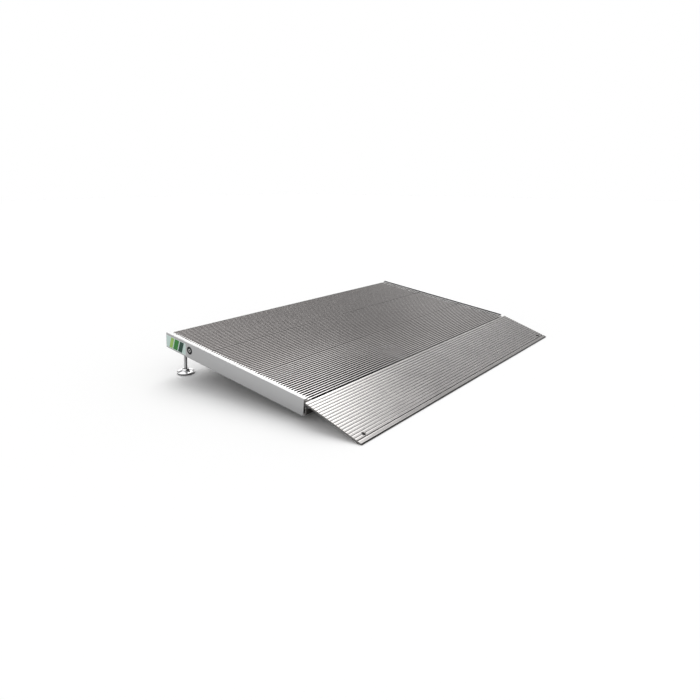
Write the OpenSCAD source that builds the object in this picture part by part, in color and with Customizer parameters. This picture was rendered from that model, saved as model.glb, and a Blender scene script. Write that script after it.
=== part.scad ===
// Threshold ramp: three ribbed deck planks between two channel side rails,
// a hinged transition flap at the lower edge and two levelling legs at the upper edge.
// Millimetres, Z up, Y up the slope towards the door, X across, floor at Z = 0.

/* [Ramp] */
// Width of the transition flap, the widest piece
flap_w = 914.4; // [720:1:1200]
// Slope of the deck against the floor, degrees
deck_slope = 7.15; // [5.5:0.05:8.5]
// Slope of the flap against the floor, degrees
flap_slope = 17.7; // [15:0.1:20]
// Overhang of the flap beyond each side rail
flap_overhang = 4.7; // [1:0.1:8]

/* [Deck planks] */
// Pitch of the tread ribs
rib_pitch = 7.62; // [7:0.02:8.6]
// Tread ribs on the front and middle planks
rib_count = 20; // [17:1:24]
// Height of a tread rib
rib_h = 2.6; // [1.8:0.1:3.2]
// Width of a tread rib at its top
rib_top_w = 2.8; // [2:0.1:3.2]
// Width of a tread rib at its foot
rib_foot_w = 4.2; // [3.4:0.1:5]
// Plain land between the last rib and the plank's edge
edge_land = 0.7; // [0.4:0.1:1.2]
// Nosing along the deck's upper edge, as high as the ribs, with its groove
nosing_w = 5.6; // [4:0.2:8]
// Thickness of the tread skin under the ribs
skin_t = 3; // [2.4:0.1:3.6]
// Depth of a plank from the rib tops to its feet
plank_depth = 31; // [29:0.5:36]
// Thickness of the webs and edge walls
web_t = 2.6; // [2:0.1:3.2]
// Thickness of the feet under the webs
foot_t = 3; // [2.4:0.1:3.6]
// Part of the front plank that stands out of the rails
front_reach = 4.6; // [3:0.1:7]

/* [Side rails] */
// Wall and flange thickness of a rail
rail_t = 3.2; // [2.6:0.1:3.8]
// Width of a rail's flanges, outer wall included
rail_flange = 10.5; // [9.8:0.1:13]

/* [Transition flap] */
// Length of the flap along its slope
flap_len = 144; // [120:1:170]
// Thickness of the flap
flap_t = 3.6; // [3:0.1:4.4]
// Height of the flap's front edge above the floor
tip_h = 2.6; // [2:0.1:3.2]
// Pitch of the grooves in the flap
groove_pitch = 7.4; // [7:0.1:8]
// Depth of a shallow groove
groove_h = 0.9; // [0.5:0.1:1.2]
// Width of a shallow groove
groove_w = 2.2; // [1.4:0.1:2.8]
// Diameter of the two anchor holes
anchor_d = 6.5; // [5:0.1:8]
// Distance of the anchor holes from the flap's sides
anchor_side = 27.5; // [22:0.5:60]
// Distance of the anchor holes from the flap's tip
anchor_tip = 17.5; // [17.5:0.5:26]

/* [Hinge] */
// Radius of the bead along the flap
bead_r = 3.1; // [2.8:0.1:3.6]
// Thickness of the neck between bead and flap
neck_t = 2.6; // [2:0.1:2.8]
// Swing of the flap below its rest pose, degrees
flap_swing = 60; // [40:1:62]

/* [Levelling legs] */
// Distance of a leg's axis from the rail's outer face
leg_inboard = 31.5; // [30:0.5:60]
// Distance of a leg's axis from the deck's upper end
leg_inset = 31; // [30:0.5:40]
// Diameter of the stud
stud_d = 8; // [7:0.5:9]
// Length of the stud above the underside of the planks
stud_reach = 8; // [6:0.5:10]
// Radius of the foot
foot_r = 21.5; // [19:0.5:26]
// Height of the ball's centre above the floor
ball_z = 7.6; // [7.4:0.1:8.4]
// Thickness of the rubber pad
pad_t = 2.5; // [2:0.1:2.6]

/* [Hidden] */
$fn = 64;

// Deck sizes along the slope, measured from the rails' lower end
seam_gap = 0.3;
plank_len = rib_count * rib_pitch + 2 * edge_land;
upper_ribs = rib_count - 1;
upper_len = upper_ribs * rib_pitch + edge_land + nosing_w;
deck_front = -front_reach;
middle_from = deck_front + plank_len;
upper_from = middle_from + plank_len;
deck_back = upper_from + upper_len;
rib_bevel = 0.4;
web_top = rib_h + skin_t / 2;
edge_foot_w = 16;
web_foot_w = 16;

// Tongue and groove between the planks
tongue_n = -13;
tongue_t = 3;
tongue_len = 4.4;
tongue_clear = 0.15;
groove_deep = 4.8;
housing_wall = 2;

// Rails
rail_out = flap_w / 2 - flap_overhang;
rail_in = rail_out - rail_t;
rail_edge = rail_out - rail_flange;
rail_drop = plank_depth + rail_t;
end_gap = 0.2;
plank_w = 2 * (rail_in - end_gap);

// Hinge, in the deck's own slope
hinge_clear = 0.1;
socket_r = bead_r + hinge_clear;
socket_wall = 2.1;
ring_r = socket_r + socket_wall;
ring_sink = 1.5;
lip_clear = 0.3;
under_clear = 0.5;
bead_back = 2;
bead_drop = flap_t + under_clear + ring_r;
bend = flap_slope - deck_slope;
hinge_t = deck_front + ring_sink - ring_r;
hinge_n = -bead_back * sin(bend) - bead_drop * cos(bend);
edge_t = hinge_t + bead_back * cos(bend) - bead_drop * sin(bend);
lip_angle = asin((neck_t / 2 + lip_clear) / socket_r);
mouth_from = 90 + bend - lip_angle;
mouth_to = 90 + bend + flap_swing + lip_angle;
bead_w = plank_w + 2 * lip_clear;
keeper_r = 4.5;
keeper_h = 2.4;
keeper_shank_r = 1.5;
keeper_len = 12;

// Flap details
groove_first = 7;
last_groove = 11.2;
groove_room = flap_len - last_groove - groove_first - groove_pitch / 2;
groove_count = 1 + floor(groove_room / groove_pitch);
last_groove_h = 1.5;
nose_flat = 9.5;
nose_run = 4.5;
tip_bevel = 2.2;
tip_bevel_h = 1.1;
spot_r = 5;

// Legs
leg_x = rail_out - leg_inboard;
leg_t = deck_back - leg_inset;
stud_r = stud_d / 2;
stud_clear = 0.1;
stud_top = -plank_depth + stud_reach;
plate_t = 3;
plate_out = rail_edge - 0.5 - leg_x;
plate_in = 26;
plate_low = 33;
plate_high = leg_inset - 2;
web_off = 26;
spigot_r = 7;
bush_flange_r = 10.5;
bush_flange_t = 2;
bush_drop = 6;
nut_af = 13;
nut_h = 4.5;
nut_gap = 0.3;
nut_r = nut_af / 2 / cos(30);
ball_r = 4.6;
ball_clear = 0.3;
seat_in = ball_r + ball_clear;
seat_t = 1.1;
seat_out = seat_in + seat_t;
cup_r = seat_out + ball_clear;
seat_below = 2.6;
seat_above = 2.4;
foot_neck_r = 3;
foot_neck_h = 6;
ring_low = 3;
ring_in = 5.6;
ring_t = 1;
cup_wall = 2.2;
cup_top = 4.4;

// Rivets
rail_rivet_r = 1.6;
rail_rivet_edge = 9.5;
rail_rivet_x = (rail_in + rail_edge) / 2;
plate_rivet_r = 2.4;
rivet_clear = 0.05;
inner_rivet_t = leg_t - web_off + 4.7;
outer_rivet_t = deck_back - 11;
plate_rivet_x = 15;

// Places in the common frame, the ramp centred over the origin
flap_z = tip_h + flap_len * sin(flap_slope);
deck_z = flap_z - edge_t * sin(deck_slope);
deck_y_raw = -edge_t * cos(deck_slope);
ball_n = (ball_z - deck_z - leg_t * sin(deck_slope)) / cos(deck_slope);
foot_y_raw = deck_y_raw + leg_t * cos(deck_slope) - ball_n * sin(deck_slope);
back_y_raw = deck_y_raw + deck_back * cos(deck_slope) + rail_drop * sin(deck_slope);
tip_y_raw = -flap_len * cos(flap_slope);
flap_y = -(tip_y_raw + max(back_y_raw, foot_y_raw + foot_r)) / 2;
deck_y = flap_y + deck_y_raw;
foot_y = flap_y + foot_y_raw;

// Frames

module deck_frame() {
  translate([0, deck_y, deck_z])
    rotate([deck_slope, 0, 0])
      children();
}

module flap_frame() {
  translate([0, flap_y, flap_z])
    rotate([flap_slope, 0, 0])
      children();
}

module leg_frame(side) {
  deck_frame()
    translate([side * leg_x, leg_t, 0])
      children();
}

module foot_frame(side) {
  translate([side * leg_x, foot_y, 0])
    children();
}

// Sections drawn in slope and height, each carried across the width
module across(w) {
  for (i = [0 : $children - 1])
    translate([-w / 2, 0, 0])
      rotate([90, 0, 90])
        linear_extrude(height = w)
          children(i);
}

// Deck planks

function rib_flank(depth) =
  rib_top_w / 2 + (rib_foot_w - rib_top_w) / 2 * depth / rib_h;

function rib_points(c) = [
  [c - rib_foot_w / 2, -rib_h],
  [c - rib_flank(rib_bevel), -rib_bevel],
  [c - rib_top_w / 2 + rib_bevel, 0],
  [c + rib_top_w / 2 - rib_bevel, 0],
  [c + rib_flank(rib_bevel), -rib_bevel],
  [c + rib_foot_w / 2, -rib_h]
];

function nosing_points(to) =
  let (c = to - nosing_w + rib_pitch / 2) [
    [c - rib_foot_w / 2, -rib_h],
    [c - rib_flank(rib_bevel), -rib_bevel],
    [c - rib_top_w / 2 + rib_bevel, 0],
    [to - rib_bevel, 0],
    [to, -rib_bevel]
  ];

module tread(from, to, ribs, edge) {
  first = from + edge_land + rib_pitch / 2;
  polygon(concat(
    [[from, -rib_h - skin_t], [from, -rib_h]],
    [for (i = [0 : ribs - 1]) each rib_points(first + i * rib_pitch)],
    edge,
    [[to, -rib_h - skin_t]]
  ));
}

module web(t) {
  translate([t - web_t / 2, -plank_depth])
    square([web_t, plank_depth - web_top]);
  translate([t - web_foot_w / 2, -plank_depth])
    square([web_foot_w, foot_t]);
}

module low_wall(t) {
  translate([t, -plank_depth])
    square([web_t, plank_depth - web_top]);
  translate([t, -plank_depth])
    square([edge_foot_w, foot_t]);
}

module high_wall(t) {
  translate([t - web_t, -plank_depth])
    square([web_t, plank_depth - web_top]);
  translate([t - edge_foot_w, -plank_depth])
    square([edge_foot_w, foot_t]);
}

module tongue(t) {
  translate([t - web_t / 2, tongue_n - tongue_t / 2])
    square([web_t / 2 + tongue_len, tongue_t]);
}

module groove_housing(t) {
  h = tongue_t + 2 * tongue_clear + 2 * housing_wall;
  translate([t, tongue_n - h / 2])
    square([groove_deep + housing_wall, h]);
}

module groove_cut(t) {
  h = tongue_t + 2 * tongue_clear;
  translate([t - 1, tongue_n - h / 2])
    square([1 + groove_deep, h]);
}

module hinge_socket() {
  difference() {
    circle(r = ring_r);
    circle(r = socket_r);
    polygon([
      [0, 0],
      [2 * ring_r * cos(mouth_from), 2 * ring_r * sin(mouth_from)],
      [3 * ring_r * cos((mouth_from + mouth_to) / 2), 3 * ring_r * sin((mouth_from + mouth_to) / 2)],
      [2 * ring_r * cos(mouth_to), 2 * ring_r * sin(mouth_to)]
    ]);
  }
}

module rail_rivet_holes(from, to) {
  for (t = [from + rail_rivet_edge, to - rail_rivet_edge], x = [-rail_rivet_x, rail_rivet_x])
    translate([x, t, -plank_depth - 1])
      cylinder(r = rail_rivet_r + rivet_clear, h = foot_t + 2);
}

module plate_rivet_holes(depth, bottom) {
  for (t = [inner_rivet_t, outer_rivet_t], s = [-1, 1], x = [-plate_rivet_x, plate_rivet_x])
    translate([s * leg_x + x, t, bottom])
      cylinder(r = plate_rivet_r + rivet_clear, h = depth);
}

module deck_plank_front() {
  from = deck_front;
  to = middle_from - seam_gap;
  color("#b8b4b0")
  deck_frame()
  difference() {
    across(plank_w) {
      tread(from, to, rib_count, [[to, -rib_h]]);
      low_wall(from);
      web(from + plank_len / 3);
      web(from + plank_len * 2 / 3);
      high_wall(to);
      tongue(to);
      translate([hinge_t, hinge_n])
        hinge_socket();
    }
    rail_rivet_holes(from, to);
  }
}

module deck_plank_middle() {
  from = middle_from;
  to = upper_from - seam_gap;
  color("#b8b4b0")
  deck_frame()
  difference() {
    across(plank_w) {
      tread(from, to, rib_count, [[to, -rib_h]]);
      low_wall(from);
      groove_housing(from);
      web(from + plank_len / 3);
      web(from + plank_len * 2 / 3);
      high_wall(to);
      tongue(to);
    }
    across(plank_w + 2)
      groove_cut(from);
    rail_rivet_holes(from, to);
  }
}

module deck_plank_upper() {
  from = upper_from;
  to = deck_back;
  color("#b8b4b0")
  deck_frame()
  difference() {
    across(plank_w) {
      tread(from, to, upper_ribs, nosing_points(to));
      low_wall(from);
      groove_housing(from);
      web((from + leg_t - web_off) / 2);
      web(leg_t - web_off);
      high_wall(to);
    }
    across(plank_w + 2)
      groove_cut(from);
    rail_rivet_holes(from, to);
    plate_rivet_holes(foot_t + 2, -plank_depth - 1);
  }
}

// Side rails

module rail_section(side) {
  mirror([side < 0 ? 1 : 0, 0])
    difference() {
      translate([rail_edge, -rail_drop])
        square([rail_flange, rail_drop + rail_t]);
      translate([rail_edge - 1, -plank_depth])
        square([rail_flange - rail_t + 1, plank_depth]);
    }
}

module side_rail(side) {
  deck_frame()
    difference() {
      translate([0, deck_back, 0])
        rotate([90, 0, 0])
          linear_extrude(height = deck_back)
            rail_section(side);
      rail_flange_holes(side);
    }
}

module rail_flange_holes(side) {
  for (t = rail_rivet_places)
    translate([side * rail_rivet_x, t, -rail_drop - 1])
      cylinder(r = rail_rivet_r + rivet_clear, h = rail_t + 2);
}

module side_rail_left() {
  color("#c9c9c9")
    side_rail(-1);
}

module side_rail_right() {
  color("#c9c9c9")
    side_rail(1);
}

rail_rivet_places = [
  deck_front + rail_rivet_edge, middle_from - seam_gap - rail_rivet_edge,
  middle_from + rail_rivet_edge, upper_from - seam_gap - rail_rivet_edge,
  upper_from + rail_rivet_edge, deck_back - rail_rivet_edge
];

// Rivets

module rivet(r, head_r, head_h, grip) {
  translate([0, 0, -head_h])
    cylinder(r1 = head_r * 0.75, r2 = head_r, h = head_h);
  cylinder(r = r, h = grip);
  translate([0, 0, grip])
    cylinder(r1 = r * 1.35, r2 = r * 1.2, h = r);
}

module rail_rivets() {
  color("#d6d6d6")
  deck_frame()
  for (t = rail_rivet_places, s = [-1, 1])
    translate([s * rail_rivet_x, t, -rail_drop])
      rivet(rail_rivet_r, 3.1, 1, rail_t + foot_t);
}

module plate_rivets() {
  color("#d6d6d6")
  deck_frame()
  for (t = [inner_rivet_t, outer_rivet_t], s = [-1, 1], x = [-plate_rivet_x, plate_rivet_x])
    translate([s * leg_x + x, t, -plank_depth - plate_t])
      rivet(plate_rivet_r, 4.6, 1.4, plate_t + foot_t);
}

// Transition flap

function groove_points(t, w, h) = [
  [-t + w / 2, 0],
  [-t + w / 4, -h],
  [-t - w / 4, -h],
  [-t - w / 2, 0]
];

module flap_section() {
  floor_n = -(tip_h + nose_flat * sin(flap_slope)) / cos(flap_slope);
  polygon(concat(
    [[0, -flap_t], [0, -0.6], [-0.6, 0]],
    [for (i = [0 : groove_count - 1]) each groove_points(groove_first + i * groove_pitch, groove_w, groove_h)],
    groove_points(flap_len - last_groove, groove_w, last_groove_h),
    [
      [-flap_len + tip_bevel, 0],
      [-flap_len - tip_bevel_h * tan(flap_slope), -tip_bevel_h],
      [-flap_len - tip_h * sin(flap_slope), -tip_h * cos(flap_slope)],
      [-flap_len + nose_flat, floor_n],
      [-flap_len + nose_flat + nose_run, -flap_t]
    ]
  ));
}

module bead_section() {
  translate([-bead_back, -bead_drop])
    circle(r = bead_r);
  translate([-bead_back - neck_t / 2, -bead_drop])
    square([neck_t, bead_drop - flap_t / 2]);
}

module transition_flap() {
  color("#d2cfcc")
  flap_frame()
  difference() {
    union() {
      across(flap_w)
        flap_section();
      across(bead_w)
        bead_section();
    }
    for (s = [-1, 1]) {
      translate([s * (flap_w / 2 - anchor_side), anchor_tip - flap_len, -flap_t - 3])
        cylinder(d = anchor_d, h = flap_t + 6);
      translate([s * (flap_w / 2 - anchor_side), anchor_tip - flap_len, -groove_h])
        cylinder(r = spot_r, h = groove_h + 1);
      translate([s * (bead_w / 2 - keeper_len), -bead_back, -bead_drop])
        rotate([0, s * 90, 0])
          cylinder(r = keeper_shank_r + rivet_clear, h = keeper_len + 1);
    }
  }
}

module hinge_keeper_screws() {
  color("#cfd2d4")
  flap_frame()
  for (s = [-1, 1])
    translate([s * bead_w / 2, -bead_back, -bead_drop])
      rotate([0, s * 90, 0]) {
        cylinder(r1 = keeper_r, r2 = keeper_r * 0.8, h = keeper_h);
        translate([0, 0, 0.5 - keeper_len])
          cylinder(r = keeper_shank_r, h = keeper_len);
      }
}

// Levelling legs

module leg_plate(side) {
  deck_frame()
    difference() {
      translate([side > 0 ? leg_x - plate_in : -leg_x - plate_out, leg_t - plate_low, -plank_depth - plate_t])
        cube([plate_in + plate_out, plate_low + plate_high, plate_t]);
      translate([side * leg_x, leg_t, -plank_depth - plate_t - 1])
        cylinder(r = spigot_r + rivet_clear, h = plate_t + 2);
      plate_rivet_holes(plate_t + 2, -plank_depth - plate_t - 1);
    }
}

module leg_plate_left() {
  color("#8d9093")
    leg_plate(-1);
}

module leg_plate_right() {
  color("#8d9093")
    leg_plate(1);
}

module leg_bushing(side) {
  under = -plank_depth - plate_t;
  leg_frame(side)
    difference() {
      union() {
        translate([0, 0, under])
          cylinder(r = spigot_r, h = plate_t);
        translate([0, 0, under - bush_flange_t])
          cylinder(r = bush_flange_r, h = bush_flange_t);
        translate([0, 0, under - bush_drop])
          cylinder(r = spigot_r, h = bush_drop);
      }
      translate([0, 0, under - bush_drop - 1])
        cylinder(r = stud_r + stud_clear, h = bush_drop + plate_t + 2);
    }
}

module leg_bushing_left() {
  color("#a7abaf")
    leg_bushing(-1);
}

module leg_bushing_right() {
  color("#a7abaf")
    leg_bushing(1);
}

module lock_nut(side) {
  leg_frame(side)
    translate([0, 0, -plank_depth - plate_t - bush_drop - nut_gap - nut_h])
      difference() {
        cylinder(r = nut_r, h = nut_h, $fn = 6);
        translate([0, 0, -1])
          cylinder(r = stud_r + stud_clear, h = nut_h + 2);
      }
}

module lock_nut_left() {
  color("#b9bdc1")
    lock_nut(-1);
}

module lock_nut_right() {
  color("#b9bdc1")
    lock_nut(1);
}

module leg_stud(side) {
  leg_frame(side)
    translate([0, 0, ball_n]) {
      sphere(r = ball_r);
      cylinder(r = foot_neck_r, h = foot_neck_h + 1);
      translate([0, 0, foot_neck_h])
        cylinder(r1 = foot_neck_r, r2 = stud_r, h = 1);
      translate([0, 0, foot_neck_h + 1])
        cylinder(r = stud_r, h = stud_top - ball_n - foot_neck_h - 2);
      translate([0, 0, stud_top - ball_n - 1])
        cylinder(r1 = stud_r, r2 = stud_r - 0.8, h = 1);
    }
}

module leg_stud_left() {
  color("#c4c8cc")
    leg_stud(-1);
}

module leg_stud_right() {
  color("#c4c8cc")
    leg_stud(1);
}

// Feet, each a turned section about its own upright axis

module ball_seat(side) {
  foot_frame(side)
    translate([0, 0, ball_z])
      rotate_extrude()
        intersection() {
          difference() {
            circle(r = seat_out);
            circle(r = seat_in);
          }
          translate([0, -seat_below])
            square([seat_out + 1, seat_below + seat_above]);
        }
}

module ball_seat_left() {
  color("#efece4")
    ball_seat(-1);
}

module ball_seat_right() {
  color("#efece4")
    ball_seat(1);
}

module foot_base(side) {
  foot_frame(side)
    rotate_extrude()
      difference() {
        polygon([
          [0, pad_t],
          [foot_r - 0.6, pad_t],
          [foot_r, pad_t + 0.6],
          [foot_r, pad_t + 2],
          [foot_r - 0.8, pad_t + 2.8],
          [foot_r - 2, pad_t + 2.6],
          [foot_r - 3.6, pad_t + 1.9],
          [foot_r - 6, pad_t + 2.5],
          [cup_r + cup_wall + 2, pad_t + 5],
          [cup_r + cup_wall, ball_z + cup_top - 2],
          [cup_r + cup_wall - 0.6, ball_z + cup_top],
          [0, ball_z + cup_top]
        ]);
        translate([0, ball_z])
          circle(r = cup_r);
        translate([-1, ball_z])
          square([cup_r + 1, cup_top + 1]);
      }
}

module foot_base_left() {
  color("#cdd0d3")
    foot_base(-1);
}

module foot_base_right() {
  color("#cdd0d3")
    foot_base(1);
}

module foot_ring(side) {
  foot_frame(side)
    translate([0, 0, ball_z + ring_low])
      difference() {
        cylinder(r = cup_r - rivet_clear, h = ring_t);
        translate([0, 0, -1])
          cylinder(r = ring_in, h = ring_t + 2);
      }
}

module foot_ring_left() {
  color("#9da1a5")
    foot_ring(-1);
}

module foot_ring_right() {
  color("#9da1a5")
    foot_ring(1);
}

module foot_pad(side) {
  foot_frame(side) {
    cylinder(r1 = foot_r - 1.4, r2 = foot_r - 0.8, h = 0.6);
    translate([0, 0, 0.6])
      cylinder(r = foot_r - 0.8, h = pad_t - 0.6);
  }
}

module foot_pad_left() {
  color("#2a2a2c")
    foot_pad(-1);
}

module foot_pad_right() {
  color("#2a2a2c")
    foot_pad(1);
}

deck_plank_upper();
deck_plank_middle();
deck_plank_front();
side_rail_left();
side_rail_right();
rail_rivets();
transition_flap();
hinge_keeper_screws();
leg_plate_left();
leg_plate_right();
plate_rivets();
leg_bushing_left();
leg_bushing_right();
lock_nut_left();
lock_nut_right();
leg_stud_left();
leg_stud_right();
ball_seat_left();
ball_seat_right();
foot_base_left();
foot_base_right();
foot_ring_left();
foot_ring_right();
foot_pad_left();
foot_pad_right();
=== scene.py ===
"""Threshold ramp: ribbed planks, channel rails, a transition flap and levelling legs, with their finishes."""

import logging
from collections.abc import Callable, Sequence
from dataclasses import dataclass, field
from enum import Enum
from math import acos, asin, cos, floor, pi, radians, sin, tan

import bpy
import numpy as np
from mathutils import Euler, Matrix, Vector


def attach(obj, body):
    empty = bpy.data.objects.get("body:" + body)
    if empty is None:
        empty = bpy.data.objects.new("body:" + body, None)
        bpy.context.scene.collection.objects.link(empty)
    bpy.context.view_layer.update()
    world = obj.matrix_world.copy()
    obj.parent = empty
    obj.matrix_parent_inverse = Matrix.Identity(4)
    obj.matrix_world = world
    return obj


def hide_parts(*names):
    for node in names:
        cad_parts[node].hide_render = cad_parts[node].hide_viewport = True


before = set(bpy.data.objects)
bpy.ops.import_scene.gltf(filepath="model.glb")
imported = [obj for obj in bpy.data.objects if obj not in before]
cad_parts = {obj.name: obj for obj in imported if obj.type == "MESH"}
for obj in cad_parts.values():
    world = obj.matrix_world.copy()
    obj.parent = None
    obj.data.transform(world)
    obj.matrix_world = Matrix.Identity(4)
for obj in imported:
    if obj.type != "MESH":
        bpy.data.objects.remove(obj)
LOG = logging.getLogger("ramp")
MM = 0.001
Colour = tuple[float, float, float]
Curve = tuple[tuple[float, ...], tuple[float, ...]]
Faces = list[list[int]]
Shape = tuple[np.ndarray, Faces]
Place = Callable[[np.ndarray, np.ndarray, np.ndarray], np.ndarray]
# Colours of painted shade and of a painted highlight, that a crown under 0 and over 1 ends in
PAINTED_SHADE: Colour = (0.015, 0.014, 0.013)
PAINTED_HIGHLIGHT: Colour = (0.92, 0.91, 0.9)
# Where most of a noise's numbers lie, narrowly and widely
MOST = (0.35, 0.65)
NEARLY_ALL = (0.3, 0.7)
# Faces this close to an end lie on it
TOUCH = 0.01 * MM


class Side(Enum):
    """Which side of the ramp a piece is on, seen by someone going up."""

    LEFT = -1
    RIGHT = 1

    @property
    def word(self) -> str:
        """The side's word in node and body names."""
        return self.name.lower()


class Grain(Enum):
    """The direction in which an extrusion came out of its die."""

    ACROSS = (1.5, 620.0, 620.0)
    ALONG = (620.0, 1.5, 620.0)
    NONE = (160.0, 160.0, 160.0)


@dataclass(frozen=True)
class Slope:
    """A sloping frame about X.

    Attributes:
        y: Row-frame Y of its origin.
        z: Row-frame Z of its origin.
        degrees: Its slope against the floor.
    """

    y: float
    z: float
    degrees: float

    def place(self, x: np.ndarray, t: np.ndarray, n: np.ndarray) -> np.ndarray:
        """Turns width, slope and height into the row frame: the slope turned about X, then moved.

        Args:
            x: Distances across the ramp.
            t: Distances up the slope.
            n: Heights square to the slope.

        Returns:
            Points with a last axis of three.
        """
        a = radians(self.degrees)
        x, t, n = np.broadcast_arrays(x, t, n)
        y = self.y + t * cos(a) - n * sin(a)
        z = self.z + t * sin(a) + n * cos(a)
        return np.stack((x, y, z), axis=-1)

    def height(self, points: np.ndarray) -> np.ndarray:
        """Heights square to the slope of points in the row frame: the turn taken back."""
        a = radians(self.degrees)
        return (points[..., 2] - self.z) * cos(a) - (points[..., 1] - self.y) * sin(a)

    def reach(self, points: np.ndarray) -> np.ndarray:
        """Distances up the slope of points in the row frame: the turn taken back."""
        a = radians(self.degrees)
        return (points[..., 1] - self.y) * cos(a) + (points[..., 2] - self.z) * sin(a)


@dataclass(frozen=True)
class Layout:
    """The sizes that the pieces share, in metres and degrees, measured from the rails' lower end."""

    deck_slope: float = 7.15
    flap_slope: float = 17.7
    flap_w: float = 914.4 * MM
    flap_overhang: float = 4.7 * MM
    flap_len: float = 144 * MM
    flap_t: float = 3.6 * MM
    tip_h: float = 2.6 * MM
    rib_pitch: float = 7.62 * MM
    rib_count: int = 20
    rib_h: float = 2.6 * MM
    edge_land: float = 0.7 * MM
    nosing_w: float = 5.6 * MM
    skin_t: float = 3 * MM
    plank_depth: float = 31 * MM
    web_t: float = 2.6 * MM
    foot_t: float = 3 * MM
    foot_w: float = 16 * MM
    front_reach: float = 4.6 * MM
    seam: float = 0.3 * MM
    rail_t: float = 3.2 * MM
    rail_flange: float = 10.5 * MM
    end_gap: float = 0.2 * MM
    bead_r: float = 3.1 * MM
    bead_back: float = 2 * MM
    neck_t: float = 2.6 * MM
    socket_r: float = 3.2 * MM
    ring_r: float = 5.3 * MM
    ring_sink: float = 1.5 * MM
    under_clear: float = 0.5 * MM
    lip_clear: float = 0.3 * MM
    flap_swing: float = 60.0
    leg_inboard: float = 31.5 * MM
    leg_inset: float = 31 * MM
    ball_z: float = 7.6 * MM
    foot_r: float = 21.5 * MM

    @property
    def plank_len(self) -> float:
        """Length of a full plank along the slope."""
        return self.rib_count * self.rib_pitch + 2 * self.edge_land

    @property
    def starts(self) -> tuple[float, float, float]:
        """Where the front, middle and upper planks start."""
        front = -self.front_reach
        return front, front + self.plank_len, front + 2 * self.plank_len

    @property
    def deck_back(self) -> float:
        """The deck's upper end."""
        return self.starts[2] + (self.rib_count - 1) * self.rib_pitch + self.edge_land + self.nosing_w

    @property
    def rail_out(self) -> float:
        """Half the width over the rails."""
        return self.flap_w / 2 - self.flap_overhang

    @property
    def plank_w(self) -> float:
        """Length of a plank across the ramp."""
        return 2 * (self.rail_out - self.rail_t - self.end_gap)

    @property
    def bead_drop(self) -> float:
        """Depth of the hinge bead under the flap's top."""
        return self.flap_t + self.under_clear + self.ring_r

    @property
    def bend(self) -> float:
        """Angle between flap and deck at rest, in radians."""
        return radians(self.flap_slope - self.deck_slope)

    @property
    def hinge(self) -> tuple[float, float]:
        """Slope and height of the hinge axis in the deck's slope."""
        n = -self.bead_back * sin(self.bend) - self.bead_drop * cos(self.bend)
        return -self.front_reach + self.ring_sink - self.ring_r, n

    @property
    def flap_edge(self) -> float:
        """Where the flap's upper edge meets the deck's plane."""
        return self.hinge[0] + self.bead_back * cos(self.bend) - self.bead_drop * sin(self.bend)

    @property
    def leg_x(self) -> float:
        """Distance of a leg's axis from the middle."""
        return self.rail_out - self.leg_inboard

    @property
    def leg_t(self) -> float:
        """Place of a leg's axis along the slope."""
        return self.deck_back - self.leg_inset

    @property
    def ball_n(self) -> float:
        """Height of the foot's ball in the deck's slope."""
        a = radians(self.deck_slope)
        return (self.ball_z - self.deck.z - self.leg_t * sin(a)) / cos(a)

    @property
    def foot_y(self) -> float:
        """Row-frame Y of the feet."""
        a = radians(self.deck_slope)
        return self.deck.y + self.leg_t * cos(a) - self.ball_n * sin(a)

    @property
    def flap(self) -> Slope:
        """The flap's frame, its origin on the upper edge and the whole ramp centred."""
        a, b = radians(self.deck_slope), radians(self.flap_slope)
        drop = self.plank_depth + self.rail_t
        back = (self.deck_back - self.flap_edge) * cos(a) + drop * sin(a)
        z = self.tip_h + self.flap_len * sin(b)
        return Slope((self.flap_len * cos(b) - back) / 2, z, self.flap_slope)

    @property
    def deck(self) -> Slope:
        """The deck's frame, its origin at the rails' lower end on the rib tops."""
        a = radians(self.deck_slope)
        flap = self.flap
        return Slope(flap.y - self.flap_edge * cos(a), flap.z - self.flap_edge * sin(a), self.deck_slope)


# Mesh tools


def round_corners(points: np.ndarray, radius: float, steps: int = 4) -> np.ndarray:
    """Rounds every corner of a closed outline.

    Each corner P becomes the curve (1-s)^2 A + 2s(1-s) P + s^2 B, where A and B lie on its two edges, a
    radius from P or just under half an edge, whichever is less.

    Args:
        points: Outline, shape (N, 2), without a repeated last point.
        radius: How far the rounding reaches along an edge.
        steps: Points for each corner.

    Returns:
        The rounded outline, shape (N * steps, 2).
    """
    before = np.roll(points, 1, axis=0) - points
    after = np.roll(points, -1, axis=0) - points
    reach_b = np.linalg.norm(before, axis=1, keepdims=True)
    reach_a = np.linalg.norm(after, axis=1, keepdims=True)
    a = points + before / reach_b * np.minimum(radius, 0.45 * reach_b)
    b = points + after / reach_a * np.minimum(radius, 0.45 * reach_a)
    s = np.linspace(0.0, 1.0, steps)[None, :, None]
    curve = (1 - s) ** 2 * a[:, None] + 2 * s * (1 - s) * points[:, None] + s**2 * b[:, None]
    return curve.reshape(-1, 2)


def arc(centre: Sequence[float], radius: float, start: float, end: float, count: int) -> np.ndarray:
    """Points on an arc, angles in radians: centre + radius (cos, sin) at even steps."""
    angle = np.linspace(start, end, count)
    return np.stack((centre[0] + radius * np.cos(angle), centre[1] + radius * np.sin(angle)), axis=-1)


def ring_faces(rows: int, columns: int, wrap_rows: bool = False) -> np.ndarray:
    """Quads of a grid whose columns close on themselves; with wrap_rows the rows close too."""
    last = rows if wrap_rows else rows - 1
    r, c = np.meshgrid(np.arange(last), np.arange(columns), indexing="ij")
    r2, c2 = (r + 1) % rows, (c + 1) % columns
    corners = (r * columns + c, r * columns + c2, r2 * columns + c2, r2 * columns + c)
    return np.stack(corners, axis=-1).reshape(-1, 4)


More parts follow.
